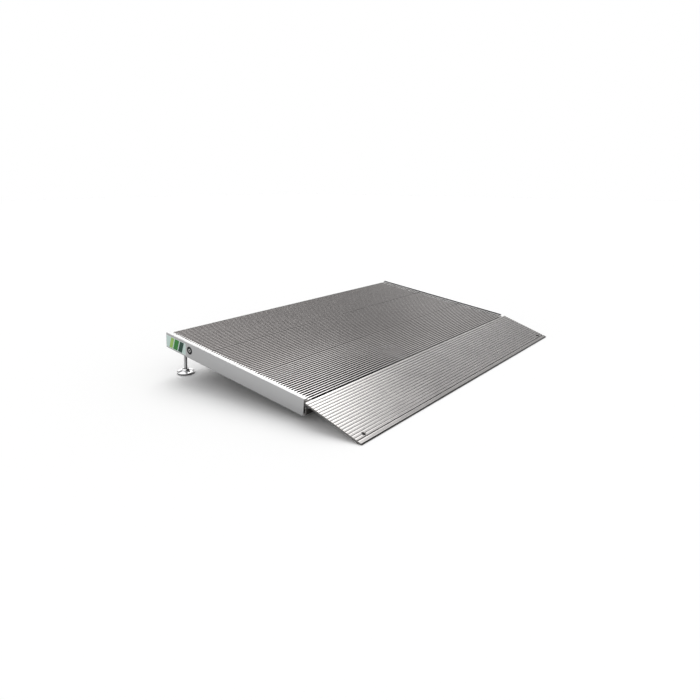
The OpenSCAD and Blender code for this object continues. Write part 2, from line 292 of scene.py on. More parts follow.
def signed_volume(mesh: bpy.types.Mesh) -> float:
    """Six times the volume of a closed mesh, from its triangles; negative where its faces point inwards."""
    mesh.calc_loop_triangles()
    tri = np.empty(3 * len(mesh.loop_triangles), dtype=np.int32)
    mesh.loop_triangles.foreach_get("vertices", tri)
    co = np.empty(3 * len(mesh.vertices))
    mesh.vertices.foreach_get("co", co)
    a, b, c = np.moveaxis(co.reshape(-1, 3)[tri.reshape(-1, 3)], 1, 0)
    return float(np.einsum("ij,ij->i", a, np.cross(b, c)).sum())


def make_object(name: str, points: np.ndarray, faces: Faces, sharp: float = 42.0) -> bpy.types.Object:
    """Puts points and faces into a new object whose faces point outwards.

    Args:
        name: The piece's name.
        points: Vertices, shape (N, 3).
        faces: Vertex numbers of each face.
        sharp: Edges bent more than this many degrees stay sharp.

    Returns:
        The object, linked to the scene at the origin.
    """
    mesh = bpy.data.meshes.new(name)
    mesh.from_pydata(points.tolist(), [], faces)
    mesh.validate()
    if signed_volume(mesh) < 0:
        mesh.flip_normals()
    mesh.shade_smooth()
    mesh.set_sharp_from_angle(angle=radians(sharp))
    obj = bpy.data.objects.new(name, mesh)
    bpy.context.scene.collection.objects.link(obj)
    return obj


def set_crown(obj: bpy.types.Object, values: np.ndarray) -> None:
    """Stores one number per face as the attribute crown, the painted light and shade that the metals read."""
    layer = obj.data.attributes.new("crown", "FLOAT", "FACE")
    layer.data.foreach_set("value", np.ascontiguousarray(values, dtype=np.float32))


def face_middles(obj: bpy.types.Object) -> np.ndarray:
    """The middle of every face, shape (N, 3)."""
    middle = np.empty(3 * len(obj.data.polygons))
    obj.data.polygons.foreach_get("center", middle)
    return middle.reshape(-1, 3)


def face_uv(obj: bpy.types.Object, uv: np.ndarray) -> None:
    """Stores a UV map from one pair of numbers per vertex."""
    loops = np.empty(len(obj.data.loops), dtype=np.int32)
    obj.data.loops.foreach_get("vertex_index", loops)
    layer = obj.data.uv_layers.new(name="face")
    layer.data.foreach_set("uv", np.ascontiguousarray(uv[loops], dtype=np.float32).ravel())


def carry(name: str, outline: np.ndarray, stations: Sequence[float], place: Place) -> bpy.types.Object:
    """Carries a closed outline along straight stations and closes both ends.

    Vertex (i, j) is place(stations[i], outline[j, 0], outline[j, 1]).

    Args:
        name: The piece's name.
        outline: Section, shape (N, 2).
        stations: Places along the run.
        place: Puts a station and a section point into the row frame.

    Returns:
        The new object.
    """
    run = np.asarray(stations)[:, None]
    points = place(run, outline[None, :, 0], outline[None, :, 1]).reshape(-1, 3)
    count, rows = len(outline), len(stations)
    faces = ring_faces(rows, count).tolist()
    faces.append(list(range(count - 1, -1, -1)))
    faces.append(list(range((rows - 1) * count, rows * count)))
    return make_object(name, points, faces)


def turn(profile: np.ndarray, segments: int, closed: bool) -> Shape:
    """Turns a profile of radius and height about the Z axis.

    Vertex (i, j) is (r_i cos(2 pi j / S), r_i sin(2 pi j / S), h_i). A closed profile gives a ring; an open
    one starts and ends on the axis, and fans close its two poles.

    Args:
        profile: Radius and height, shape (N, 2).
        segments: Steps around.
        closed: Whether the profile's last point joins its first.

    Returns:
        Points and faces.
    """
    angle = 2 * pi * np.arange(segments) / segments
    body = profile if closed else profile[1:-1]
    ring = np.stack((np.cos(angle), np.sin(angle)), axis=-1)
    xy = body[:, None, :1] * ring[None]
    z = np.broadcast_to(body[:, None, 1:], (len(body), segments, 1))
    points = np.concatenate((xy, z), axis=-1).reshape(-1, 3)
    faces = ring_faces(len(body), segments, wrap_rows=closed).tolist()
    if closed:
        return points, faces
    low, high = len(points), len(points) + 1
    points = np.vstack((points, [[0, 0, profile[0, 1]], [0, 0, profile[-1, 1]]]))
    j = np.arange(segments)
    k = (j + 1) % segments
    top = (len(body) - 1) * segments
    faces += np.stack((np.full(segments, low), k, j), axis=-1).tolist()
    faces += np.stack((np.full(segments, high), top + j, top + k), axis=-1).tolist()
    return points, faces


def repeat(points: np.ndarray, faces: Faces, shifts: np.ndarray) -> Shape:
    """Copies one shape to several places, as one mesh.

    Args:
        points: The shape's vertices.
        faces: Its faces.
        shifts: One offset per copy, shape (K, 3).

    Returns:
        Points and faces of all copies.
    """
    every = (points[None] + shifts[:, None]).reshape(-1, 3)
    step = len(points)
    return every, [[v + i * step for v in f] for i in range(len(shifts)) for f in faces]


# Finishes


class Nodes:
    """A node tree with short ways to add and join nodes."""

    def __init__(self, tree: bpy.types.NodeTree) -> None:
        """Starts with the tree emptied.

        Args:
            tree: The nodes of a material or of the world.
        """
        self.tree = tree
        tree.nodes.clear()

    def add(self, kind: str, **settings: object) -> bpy.types.Node:
        """Adds a node and sets its own settings.

        Args:
            kind: Node type without its ShaderNode prefix.
            **settings: Settings of the node.

        Returns:
            The node.
        """
        node = self.tree.nodes.new(f"ShaderNode{kind}")
        for key, value in settings.items():
            setattr(node, key, value)
        return node

    def join(self, source: object, target: object) -> None:
        """Links an output to an input, or writes a plain value into it."""
        if isinstance(source, bpy.types.NodeSocket):
            self.tree.links.new(source, target)
        else:
            target.default_value = source

    def math(self, operation: str, a: object, b: object = 0.0) -> bpy.types.NodeSocket:
        """One arithmetic step on two numbers or sockets."""
        node = self.add("Math", operation=operation)
        self.join(a, node.inputs[0])
        self.join(b, node.inputs[1])
        return node.outputs[0]

    def between(self, value: object, low: float, high: float) -> bpy.types.NodeSocket:
        """1 where a number lies between two others, 0 elsewhere."""
        over = self.math("GREATER_THAN", value, low)
        return self.math("MULTIPLY", over, self.math("LESS_THAN", value, high))

    def total(self, a: object, share_a: float, b: object, share_b: float) -> bpy.types.NodeSocket:
        """The sum of two numbers, each times a share."""
        return self.math("ADD", self.math("MULTIPLY", a, share_a), self.math("MULTIPLY", b, share_b))

    def spread(
        self, value: object, source: Sequence[float], target: Sequence[float], smooth: bool = False
    ) -> bpy.types.NodeSocket:
        """Maps a range of a number onto another range, held at both ends.

        Args:
            value: The number.
            source: Its lowest and highest value.
            target: What these two become.
            smooth: Whether the step between them is smooth or straight.

        Returns:
            The mapped number.
        """
        node = self.add("MapRange", clamp=True, interpolation_type="SMOOTHSTEP" if smooth else "LINEAR")
        self.join(value, node.inputs["Value"])
        for key, number in zip(("From Min", "From Max", "To Min", "To Max"), (*source, *target)):
            node.inputs[key].default_value = number
        return node.outputs["Result"]

    def mix(self, share: object, a: object, b: object) -> bpy.types.NodeSocket:
        """Mixes two shaders by a share from 0 to 1."""
        node = self.add("MixShader")
        for source, target in zip((share, a, b), node.inputs):
            self.join(source, target)
        return node.outputs["Shader"]

    def looked_at(self) -> bpy.types.NodeSocket:
        """1 for rays of the camera, of shiny and of clear pieces, 0 for rays that only gather light."""
        path = self.add("LightPath").outputs
        shown = path["Is Camera Ray"]
        for ray in ("Is Glossy Ray", "Is Transmission Ray"):
            shown = self.math("MAXIMUM", shown, path[ray])
        return shown


class Sheet(Nodes):
    """A material under construction, with one surface shader."""

    def __init__(self, name: str) -> None:
        """Starts an empty surface shader.

        Args:
            name: The material's name.
        """
        self.material = bpy.data.materials.new(name)
        self.material.use_nodes = True
        super().__init__(self.material.node_tree)
        self.bsdf = self.add("BsdfPrincipled")
        self.join(self.bsdf.outputs["BSDF"], self.add("OutputMaterial").inputs["Surface"])

    def blend(self, share: object, a: object, b: object) -> bpy.types.NodeSocket:
        """Mixes two colours or colour sockets by a share from 0 to 1."""
        node = self.add("Mix", data_type="RGBA")
        self.join(share, node.inputs["Factor"])
        for colour, key in ((a, "A"), (b, "B")):
            value = colour if isinstance(colour, bpy.types.NodeSocket) else (*colour, 1.0)
            self.join(value, node.inputs[key])
        return node.outputs["Result"]

    def surface(self, colour: object, rough: object) -> None:
        """Sets the surface's colour and roughness."""
        self.join(colour, self.bsdf.inputs["Base Color"])
        self.join(rough, self.bsdf.inputs["Roughness"])

    def noise(
        self, scale: float | Sequence[float], tilt: float = 0.0, detail: float = 3.0
    ) -> bpy.types.NodeSocket:
        """Noise on the object's own coordinates, stretched by a scale for each axis after a turn about X.

        Args:
            scale: Cells per metre, the same along every axis or one number for each.
            tilt: Turn about X in degrees, to lie along a slope.
            detail: Octaves of the noise.

        Returns:
            The noise's number.
        """
        where = self.add("TexCoord").outputs["Object"]
        turned = self.add("Mapping", vector_type="POINT")
        turned.inputs["Rotation"].default_value = (radians(-tilt), 0.0, 0.0)
        self.join(where, turned.inputs["Vector"])
        sized = self.add("Mapping", vector_type="POINT")
        sized.inputs["Scale"].default_value = np.broadcast_to(scale, 3).tolist()
        self.join(turned.outputs["Vector"], sized.inputs["Vector"])
        tex = self.add("TexNoise", noise_dimensions="3D")
        tex.inputs["Scale"].default_value = 1.0
        tex.inputs["Detail"].default_value = detail
        tex.inputs["Roughness"].default_value = 0.55
        self.join(sized.outputs["Vector"], tex.inputs["Vector"])
        return tex.outputs["Fac"]

    def bump(self, height: object, strength: float, distance: float) -> None:
        """Raises the surface by a height, in metres times distance."""
        node = self.add("Bump")
        node.inputs["Strength"].default_value = strength
        node.inputs["Distance"].default_value = distance
        self.join(height, node.inputs["Height"])
        self.join(node.outputs["Normal"], self.bsdf.inputs["Normal"])


@dataclass(frozen=True)
class Metal:
    """A bare or plated metal.

    Attributes:
        name: Name of the material.
        light: Colour of the clean metal.
        dark: Colour of its duller streaks.
        rough: Lowest and highest roughness.
        grain: Direction of the die or polishing lines.
        tilt: Slope that the lines follow, degrees.
        lines: Depth of the lines in metres.
        low: Colour in grooves, a painted shade, where the piece has a crown attribute. Under 0 the crown is
        deeper painted shade, over 1 a painted highlight.
        crest: Crown at which a rib's flank starts to lighten out of its painted shade, and at which it is as
            light as its top.
        dusty: What a groove's floor adds to the roughness.
        glance: How bright its shine is at a glancing angle.
    """

    name: str
    light: Colour
    dark: Colour
    rough: tuple[float, float]
    grain: Grain = Grain.NONE
    tilt: float = 0.0
    lines: float = 0.01 * MM
    low: Colour | None = None
    crest: tuple[float, float] = (0.0, 1.0)
    dusty: float = 0.12
    glance: float = 1.0

    def make(self) -> bpy.types.Material:
        """Builds the material: streaks for colour and bump, clouds for roughness, painted shade in grooves.
        """
        sheet = Sheet(self.name)
        streak = sheet.noise(self.grain.value, self.tilt, 4.0)
        cloud = sheet.noise(14.0, self.tilt)
        fleck = sheet.noise(900.0, 0.0, 2.0)
        unmarked = sheet.spread(sheet.total(streak, 0.7, cloud, 0.3), MOST, (0.0, 1.0))
        colour = sheet.blend(unmarked, self.dark, self.light)
        rough = sheet.spread(sheet.total(cloud, 0.6, fleck, 0.4), MOST, self.rough)
        if self.low is not None:
            # Painted light from the crown: the low colour is painted shade in grooves and on flanks, under 0
            # deeper painted shade, over 1 a painted highlight
            crown = sheet.add("Attribute", attribute_name="crown").outputs["Fac"]
            colour = sheet.blend(sheet.spread(crown, self.crest, (0.0, 1.0)), self.low, colour)
            colour = sheet.blend(sheet.spread(crown, (-1.0, 0.0), (1.0, 0.0)), colour, PAINTED_SHADE)
            colour = sheet.blend(sheet.spread(crown, (1.0, 2.0), (0.0, 1.0)), colour, PAINTED_HIGHLIGHT)
            rough = sheet.math("ADD", rough, sheet.spread(crown, (0.0, 1.0), (self.dusty, 0.0)))
        sheet.surface(colour, rough)
        sheet.bsdf.inputs["Metallic"].default_value = 1.0
        sheet.bsdf.inputs["Specular Tint"].default_value = (self.glance, self.glance, self.glance, 1.0)
        sheet.bump(sheet.total(streak, 1.0, fleck, 0.25), 0.5, self.lines)
        return sheet.material


@dataclass(frozen=True)
class Moulded:
    """Rubber or nylon with a fine moulded grain.

    Attributes:
        name: Name of the material.
        light: Its colour.
        dark: Its colour where it is dusty or scuffed.
        rough: Lowest and highest roughness.
        grain: Cells of the grain per metre.
    """

    name: str
    light: Colour
    dark: Colour
    rough: tuple[float, float]
    grain: float = 1200.0

    def make(self) -> bpy.types.Material:
        """Builds the material: clouds for colour, grain for roughness and bump."""
        sheet = Sheet(self.name)
        unmarked = sheet.spread(sheet.noise(90.0), MOST, (0.0, 1.0))
        grain = sheet.noise(self.grain, 0.0, 2.0)
        sheet.surface(sheet.blend(unmarked, self.dark, self.light), sheet.spread(grain, NEARLY_ALL, self.rough))
        sheet.bump(grain, 0.4, 0.06 * MM)
        return sheet.material


@dataclass(frozen=True)
class Banner:
    """The printed film on the rail: a pale ground with plain slanted bars, no words.

    Attributes:
        name: Name of the material.
        ground: Colour of the ground.
        edge: Colour of the border.
        bars: Start, end and colour of each bar, as shares of the film's length.
        lean: How far a bar leans over the film's height, as a share of its length.
        border: Width of the border, as a share of the film's length.
        shape: About the film's height, as a share of its length.
    """

    name: str
    ground: Colour
    edge: Colour
    bars: tuple[tuple[float, float, Colour], ...]
    lean: float = 0.12
    border: float = 0.014
    shape: float = 0.4

    def make(self) -> bpy.types.Material:
        """Builds the material: each bar is where u plus lean times v lies between two numbers."""
        sheet = Sheet(self.name)
        split = sheet.add("SeparateXYZ")
        sheet.join(sheet.add("UVMap", uv_map="face").outputs["UV"], split.inputs["Vector"])
        u, v = split.outputs["X"], split.outputs["Y"]
        slant = sheet.total(u, 1.0, v, self.lean)
        fade = sheet.noise(60.0)
        colour = sheet.blend(sheet.spread(fade, NEARLY_ALL, (0.0, 0.25)), self.ground, self.edge)
        for start, end, tint in self.bars:
            colour = sheet.blend(sheet.between(slant, start, end), colour, tint)
        along = sheet.math("MINIMUM", u, sheet.math("SUBTRACT", 1.0, u))
        up = sheet.math("MULTIPLY", sheet.math("MINIMUM", v, sheet.math("SUBTRACT", 1.0, v)), self.shape)
        border = sheet.math("LESS_THAN", sheet.math("MINIMUM", along, up), self.border)
        sheet.surface(sheet.blend(border, colour, self.edge), sheet.spread(fade, NEARLY_ALL, (0.38, 0.5)))
        sheet.bsdf.inputs["Specular IOR Level"].default_value = 0.25
        sheet.bump(sheet.noise(500.0), 0.15, 0.04 * MM)
        return sheet.material


@dataclass(frozen=True)
class Roundel:
    """A plain round film: a dark disc with one pale ring.

    Attributes:
        name: Name of the material.
        dark: Colour of the disc.
        pale: Colour of the ring.
        ring: Inner and outer radius of the ring, as shares of the disc's radius.
    """

    name: str
    dark: Colour
    pale: Colour
    ring: tuple[float, float] = (0.26, 0.42)

    def make(self) -> bpy.types.Material:
        """Builds the material from the distance to the disc's centre, kept in the UV map."""
        sheet = Sheet(self.name)
        away = sheet.add("VectorMath", operation="DISTANCE")
        sheet.join(sheet.add("UVMap", uv_map="face").outputs["UV"], away.inputs[0])
        away.inputs[1].default_value = (0.5, 0.5, 0.0)
        far = sheet.math("MULTIPLY", away.outputs["Value"], 2.0)
        fade = sheet.noise(300.0)
        dark = sheet.blend(sheet.spread(fade, NEARLY_ALL, (0.0, 0.03)), self.dark, self.pale)
        colour = sheet.blend(sheet.between(far, *self.ring), dark, self.pale)
        sheet.surface(colour, sheet.spread(fade, NEARLY_ALL, (0.4, 0.55)))
        sheet.bsdf.inputs["Specular IOR Level"].default_value = 0.06
        sheet.bump(fade, 0.15, 0.04 * MM)
        return sheet.material


def made(finish: Metal | Moulded | Banner | Roundel) -> bpy.types.Material:
    """A dataclass field whose value is the finish's material, built when the dataclass is."""
    return field(default_factory=finish.make)


@dataclass
class Finishes:
    """All finishes of the ramp, each built once."""

    # The low colours of deck, rail and flap are painted shade, in grooves and on faces turned from the light
    deck: bpy.types.Material = made(Metal(
        "deck aluminium", (0.32, 0.304, 0.298), (0.305, 0.29, 0.284), (0.13, 0.17), Grain.ACROSS,
        Layout.deck_slope, low=(0.24, 0.228, 0.224), crest=(0.86, 1.0),
    ))
    rail: bpy.types.Material = made(Metal(
        "rail aluminium", (0.95, 0.95, 0.95), (0.9, 0.9, 0.9), (0.3, 0.42), Grain.ALONG,
        Layout.deck_slope, low=(0.12, 0.12, 0.125), glance=0.25,
    ))
    flap: bpy.types.Material = made(Metal(
        "flap aluminium", (0.86, 0.835, 0.82), (0.81, 0.785, 0.775), (0.17, 0.23), Grain.ACROSS,
        Layout.flap_slope, low=(0.05, 0.048, 0.047),
    ))
    rivet: bpy.types.Material = made(Metal(
        "rivet aluminium", (0.7, 0.7, 0.71), (0.55, 0.55, 0.56), (0.25, 0.4), lines=0.02 * MM,
    ))
    plated: bpy.types.Material = made(Metal(
        "plated steel", (0.6, 0.61, 0.62), (0.42, 0.43, 0.45), (0.25, 0.42), lines=0.02 * MM,
    ))
    bright: bpy.types.Material = made(Metal(
        "bright steel", (0.9, 0.9, 0.9), (0.8, 0.8, 0.81), (0.14, 0.26), lines=0.005 * MM,
    ))
    stud: bpy.types.Material = made(Metal(
        "stud steel", (0.58, 0.58, 0.58), (0.48, 0.48, 0.49), (0.24, 0.36), lines=0.005 * MM,
    ))
    # Very dark steel on the keeper screws, standing in for the shade at the hinge's ends: painted shade
    black: bpy.types.Material = made(Metal(
        "dark steel", (0.14, 0.14, 0.145), (0.08, 0.08, 0.085), (0.3, 0.45), lines=0.02 * MM,
    ))
    nylon: bpy.types.Material = made(Moulded("nylon", (0.82, 0.8, 0.74), (0.74, 0.71, 0.64), (0.4, 0.55)))
    rubber: bpy.types.Material = made(Moulded(
        "foot rubber", (0.03, 0.03, 0.032), (0.06, 0.058, 0.055), (0.6, 0.85),
    ))
    banner: bpy.types.Material = made(Banner(
        "rail film", (0.66, 0.83, 0.78), (0.8, 0.9, 0.87),
        (
            (0.2, 0.4, (0.003, 0.05, 0.03)),
            (0.44, 0.66, (0.03, 0.24, 0.03)),
            (0.7, 0.86, (0.38, 0.62, 0.14)),
        ),
    ))
    roundel: bpy.types.Material = made(Roundel("round film", (0.012, 0.012, 0.013), (0.8, 0.8, 0.8)))


def paint(obj: bpy.types.Object, material: bpy.types.Material) -> None:
    """Gives an object one material in place of those it has."""
    obj.data.materials.clear()
    obj.data.materials.append(material)


def dress(
    obj: bpy.types.Object, material: bpy.types.Material, body: str, nodes: Sequence[str] = ()
) -> None:
    """Gives a new piece its finish, its body and the nodes that it stands for, and logs it.

    Args:
        obj: The piece.
        material: Its finish.
        body: The body that it rides on.
        nodes: CAD nodes that it replaces.
    """
    paint(obj, material)
    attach(obj, body)
    if nodes:
        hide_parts(*nodes)
    LOG.info("%s rides on %s, %d faces", obj.name, body, len(obj.data.polygons))


def dress_node(node: str, material: bpy.types.Material) -> None:
    """Gives a CAD node that stays a finish of its own."""
    paint(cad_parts[node], material)
    LOG.info("%s keeps its CAD shape", node)


# Sub-assemblies


@dataclass
class DeckPlanks:
    """The three ribbed planks, each one section carried across the ramp.

    Attributes:
        plan: The shared sizes.
        rib_top: Width of a rib at its top.
        rib_foot: Width of a rib at its foot.
        soft: Rounding of the section's corners.
        tongue: Height, thickness and length of the tongue.
        groove: Depth of the groove, clearance round the tongue and wall of its housing.
        leg_room: Distance of the upper plank's last web from the legs.
        steps: Number of places across the width at which the painted light and shade are set.
        painted_light: Length of a rib's end beside the left and the right rail that carries a painted
            highlight.
        bright: Crown of those ends, left and right, a painted highlight.
        wall: Crown of the walls and the underside, painted shade darker than the rib tops.
        floor: Crown of the grooves' floors, painted shade.
        seam: Crown of the strips along the front edge and the two seams, painted shade in these gaps.
        seam_shade: Places across the width, and how much of that painted shade lies there.
        shade_contrast: How much the rib tops of each plank, front to upper, stand out from the painted shade
            of their flanks.
        painted_across: Places across the width, and how strong the ribs' painted highlight and shade are
            there at the front edge.
        gain: What the full painted highlight adds to the crown of a rib's top, and the full painted shade to
            that of its flanks and the groove.
        crest: Share of a rib's height that takes its top's painted highlight.
        dark: Crown of the edge at the hinge, and of the planks' sawn ends, painted shade.
    """

    plan: Layout
    rib_top: float = 2.8 * MM
    rib_foot: float = 4.2 * MM
    soft: float = 0.55 * MM
    tongue: tuple[float, float, float] = (-13 * MM, 3 * MM, 4.4 * MM)
    groove: tuple[float, float, float] = (4.8 * MM, 0.15 * MM, 2 * MM)
    leg_room: float = 26 * MM
    steps: int = 17
    painted_light: tuple[float, float] = (10 * MM, 13 * MM)
    bright: tuple[float, float] = (1.8, 1.7)
    wall: float = 0.92
    floor: float = 0.86
    seam: tuple[float, float, float] = (-0.15, 0.4, -0.15)
    seam_shade: Curve = ((-0.5, -0.2, 0.1), (0.0, 0.2, 1.0))
    shade_contrast: tuple[float, float, float] = (1.0, 0.7, 0.4)
    painted_across: Curve = ((-0.5, -0.2, 0.15), (1.0, 0.7, 0.0))
    gain: tuple[float, float] = (0.5, -2.5)
    crest: float = 0.3
    dark: tuple[float, float] = (-0.6, -0.3)

    @property
    def levels(self) -> tuple[float, float, float]:
        """Heights of the skin's underside, of a foot's top and of a plank's underside."""
        p = self.plan
        return -p.rib_h - p.skin_t, p.foot_t - p.plank_depth, -p.plank_depth

    @property
    def plain(self) -> tuple[float, float]:
        """Where the ribs' plain length starts and ends, between their ends with the painted highlight."""
        lip = self.plan.rail_out - self.plan.rail_flange
        return self.painted_light[0] - lip, lip - self.painted_light[1]

    def tread(self, start: float, end: float, ribs: int, nosed: bool) -> np.ndarray:
        """The ribbed top: four points for each rib at every pitch.

        Args:
            start: The plank's lower edge.
            end: Its upper edge.
            ribs: How many ribs stand at the pitch.
            nosed: Whether one more rib runs out to the upper edge; else the groove's floor does.

        Returns:
            Points from the lower to the upper edge, shape (N, 2).
        """
        p = self.plan
        foot, top = self.rib_foot / 2, self.rib_top / 2
        centre = start + p.edge_land + p.rib_pitch * (0.5 + np.arange(ribs))
        t = (centre[:, None] + np.array([-foot, -top, top, foot])).ravel()
        n = np.tile([-p.rib_h, 0.0, 0.0, -p.rib_h], ribs)
        last = centre[-1] + p.rib_pitch
        nosing = [[last - foot, -p.rib_h], [last - top, 0.0], [end, 0.0]]
        high = nosing if nosed else [[end, -p.rib_h]]
        return np.vstack(([[start, -p.rib_h]], np.stack((t, n), axis=-1), high))

    def web(self, t: float) -> np.ndarray:
        """One web and its foot under the skin, from its upper to its lower side."""
        top, ledge, low = self.levels
        half, foot = self.plan.web_t / 2, self.plan.foot_w / 2
        return np.array([
            [t + half, top], [t + half, ledge], [t + foot, ledge], [t + foot, low],
            [t - foot, low], [t - foot, ledge], [t - half, ledge], [t - half, top],
        ])

    def upper_edge(self, t: float, tongued: bool) -> np.ndarray:
        """The wall at a plank's upper edge, with its tongue where the next plank joins, and its foot."""
        p = self.plan
        top, ledge, low = self.levels
        at, thick, reach = self.tongue
        over, under = at + thick / 2, at - thick / 2
        tongue = np.array([[t, over], [t + reach, over], [t + reach, under], [t, under]])
        foot = np.array([
            [t, low], [t - p.foot_w, low], [t - p.foot_w, ledge], [t - p.web_t, ledge], [t - p.web_t, top],
        ])
        return np.vstack((tongue, foot)) if tongued else foot

    def lower_edge(self, t: float) -> np.ndarray:
        """The wall at a plank's lower edge: its housing inside, its foot, and the groove for the tongue."""
        p = self.plan
        top, ledge, low = self.levels
        at, thick, _ = self.tongue
        deep, clear, wall = self.groove
        inner = thick / 2 + clear
        outer = inner + wall
        return np.array([
            [t + p.web_t, top], [t + p.web_t, at + outer], [t + deep + wall, at + outer],
            [t + deep + wall, at - outer], [t + p.web_t, at - outer], [t + p.web_t, ledge],
            [t + p.foot_w, ledge], [t + p.foot_w, low], [t, low],
            [t, at - inner], [t + deep, at - inner], [t + deep, at + inner], [t, at + inner],
        ])

    def hinge_edge(self, t: float) -> np.ndarray:
        """The front plank's lower wall with the open socket that holds the flap's bead."""
        p = self.plan
        top, ledge, low = self.levels
        centre = p.hinge
        meet = acos((t - centre[0]) / p.ring_r)
        lip = asin((p.neck_t / 2 + p.lip_clear) / p.socket_r)
        start = pi / 2 + p.bend - lip
        end = pi / 2 + p.bend + radians(p.flap_swing) + lip
        wall = np.array([
            [t + p.web_t, top], [t + p.web_t, ledge], [t + p.foot_w, ledge], [t + p.foot_w, low], [t, low],
        ])
        below = arc(centre, p.ring_r, -meet, end - 2 * pi, 28)
        inside = arc(centre, p.socket_r, end - 2 * pi, start, 36)
        above = arc(centre, p.ring_r, start, meet, 6)
        return np.vstack((wall, below, inside, above))

    def section(self, index: int) -> np.ndarray:
        """The whole outline of one plank: tread, upper edge, webs from the upper side down, lower edge."""
        p = self.plan
        start = p.starts[index]
        if index == 2:
            end, ribs = p.deck_back, p.rib_count - 1
            high = p.leg_t - self.leg_room
            webs = (high, (start + high) / 2)
        else:
            end, ribs = p.starts[index + 1] - p.seam, p.rib_count
            webs = (start + p.plank_len * 2 / 3, start + p.plank_len / 3)
        low = self.hinge_edge(start) if index == 0 else self.lower_edge(start)
        top = self.tread(start, end, ribs, index == 2)
        return np.vstack((top, self.upper_edge(end, index < 2), *map(self.web, webs), low))

    def shade(self, index: int, middle: np.ndarray) -> np.ndarray:
        """How bright each face's metal is: painted highlights on rib tops and on the ends by the rails,
        painted shade on flanks and along the seams.

        Args:
            index: Which plank it is, from the front.
            middle: Middles of its faces, shape (N, 3).

        Returns:
            The crown of each face.
        """
        p = self.plan
        left, right = self.plain
        x, height, reach = middle[:, 0], p.deck.height(middle), p.deck.reach(middle)
        tread = height > -p.rib_h - self.soft
        # Painted highlight on the rib ends beside the rails
        end = np.where(height > -0.5 * p.rib_h, np.where(x < left, *self.bright), 1.0)
        # Rib tops full, flanks and groove floors in painted shade, more strongly on the front plank
        rib = self.wall + self.shade_contrast[index] * (np.clip(1 + height / p.rib_h, self.floor, 1) - self.wall)
        # Painted highlight on the rib tops and painted shade on their flanks, strongest at the front left and
        # fading up the slope
        fade = np.interp(reach, (p.starts[0], p.starts[1] + p.plank_len / 2), (1.0, 0.0))
        painted_across = np.interp(x / p.plank_w, *self.painted_across) * fade
        rib += painted_across * np.where(height > -self.crest * p.rib_h, *self.gain)
        crown = np.where(tread & (x > left) & (x < right), rib, np.where(tread, end, self.wall))
        # Painted shade in the strips along the front edge and the seams, fading towards the left
        strip = p.edge_land + (p.rib_pitch - self.rib_top) / 2
        strips = [tread & (reach - reach.min() < strip)]
        if index < 2:
            strips.append(tread & (reach > p.starts[index + 1] - p.seam - strip))
        unmarked = 1 - np.interp(x / p.plank_w, *self.seam_shade)
        for part, level in zip(strips, self.seam[index:]):
            crown[part] = level + unmarked[part] * (self.wall - level)
        # Painted shade on the edge at the hinge and on the sawn ends
        crown[reach < p.starts[0] + self.soft] = self.dark[0]
        crown[np.abs(x) > p.plank_w / 2 - TOUCH] = self.dark[1]
        return crown

    def build(self, finish: Finishes) -> None:
        """Makes the three planks."""
        p = self.plan
        half = p.plank_w / 2
        stations = (-half, *np.linspace(*self.plain, self.steps), half)
        for index, word in enumerate(("front", "middle", "upper")):
            outline = round_corners(self.section(index), self.soft)
            obj = carry(f"plank_{word}", outline, stations, p.deck.place)
            set_crown(obj, self.shade(index, face_middles(obj)))
            dress(obj, finish.deck, "deck", (f"deck_plank_{word}",))


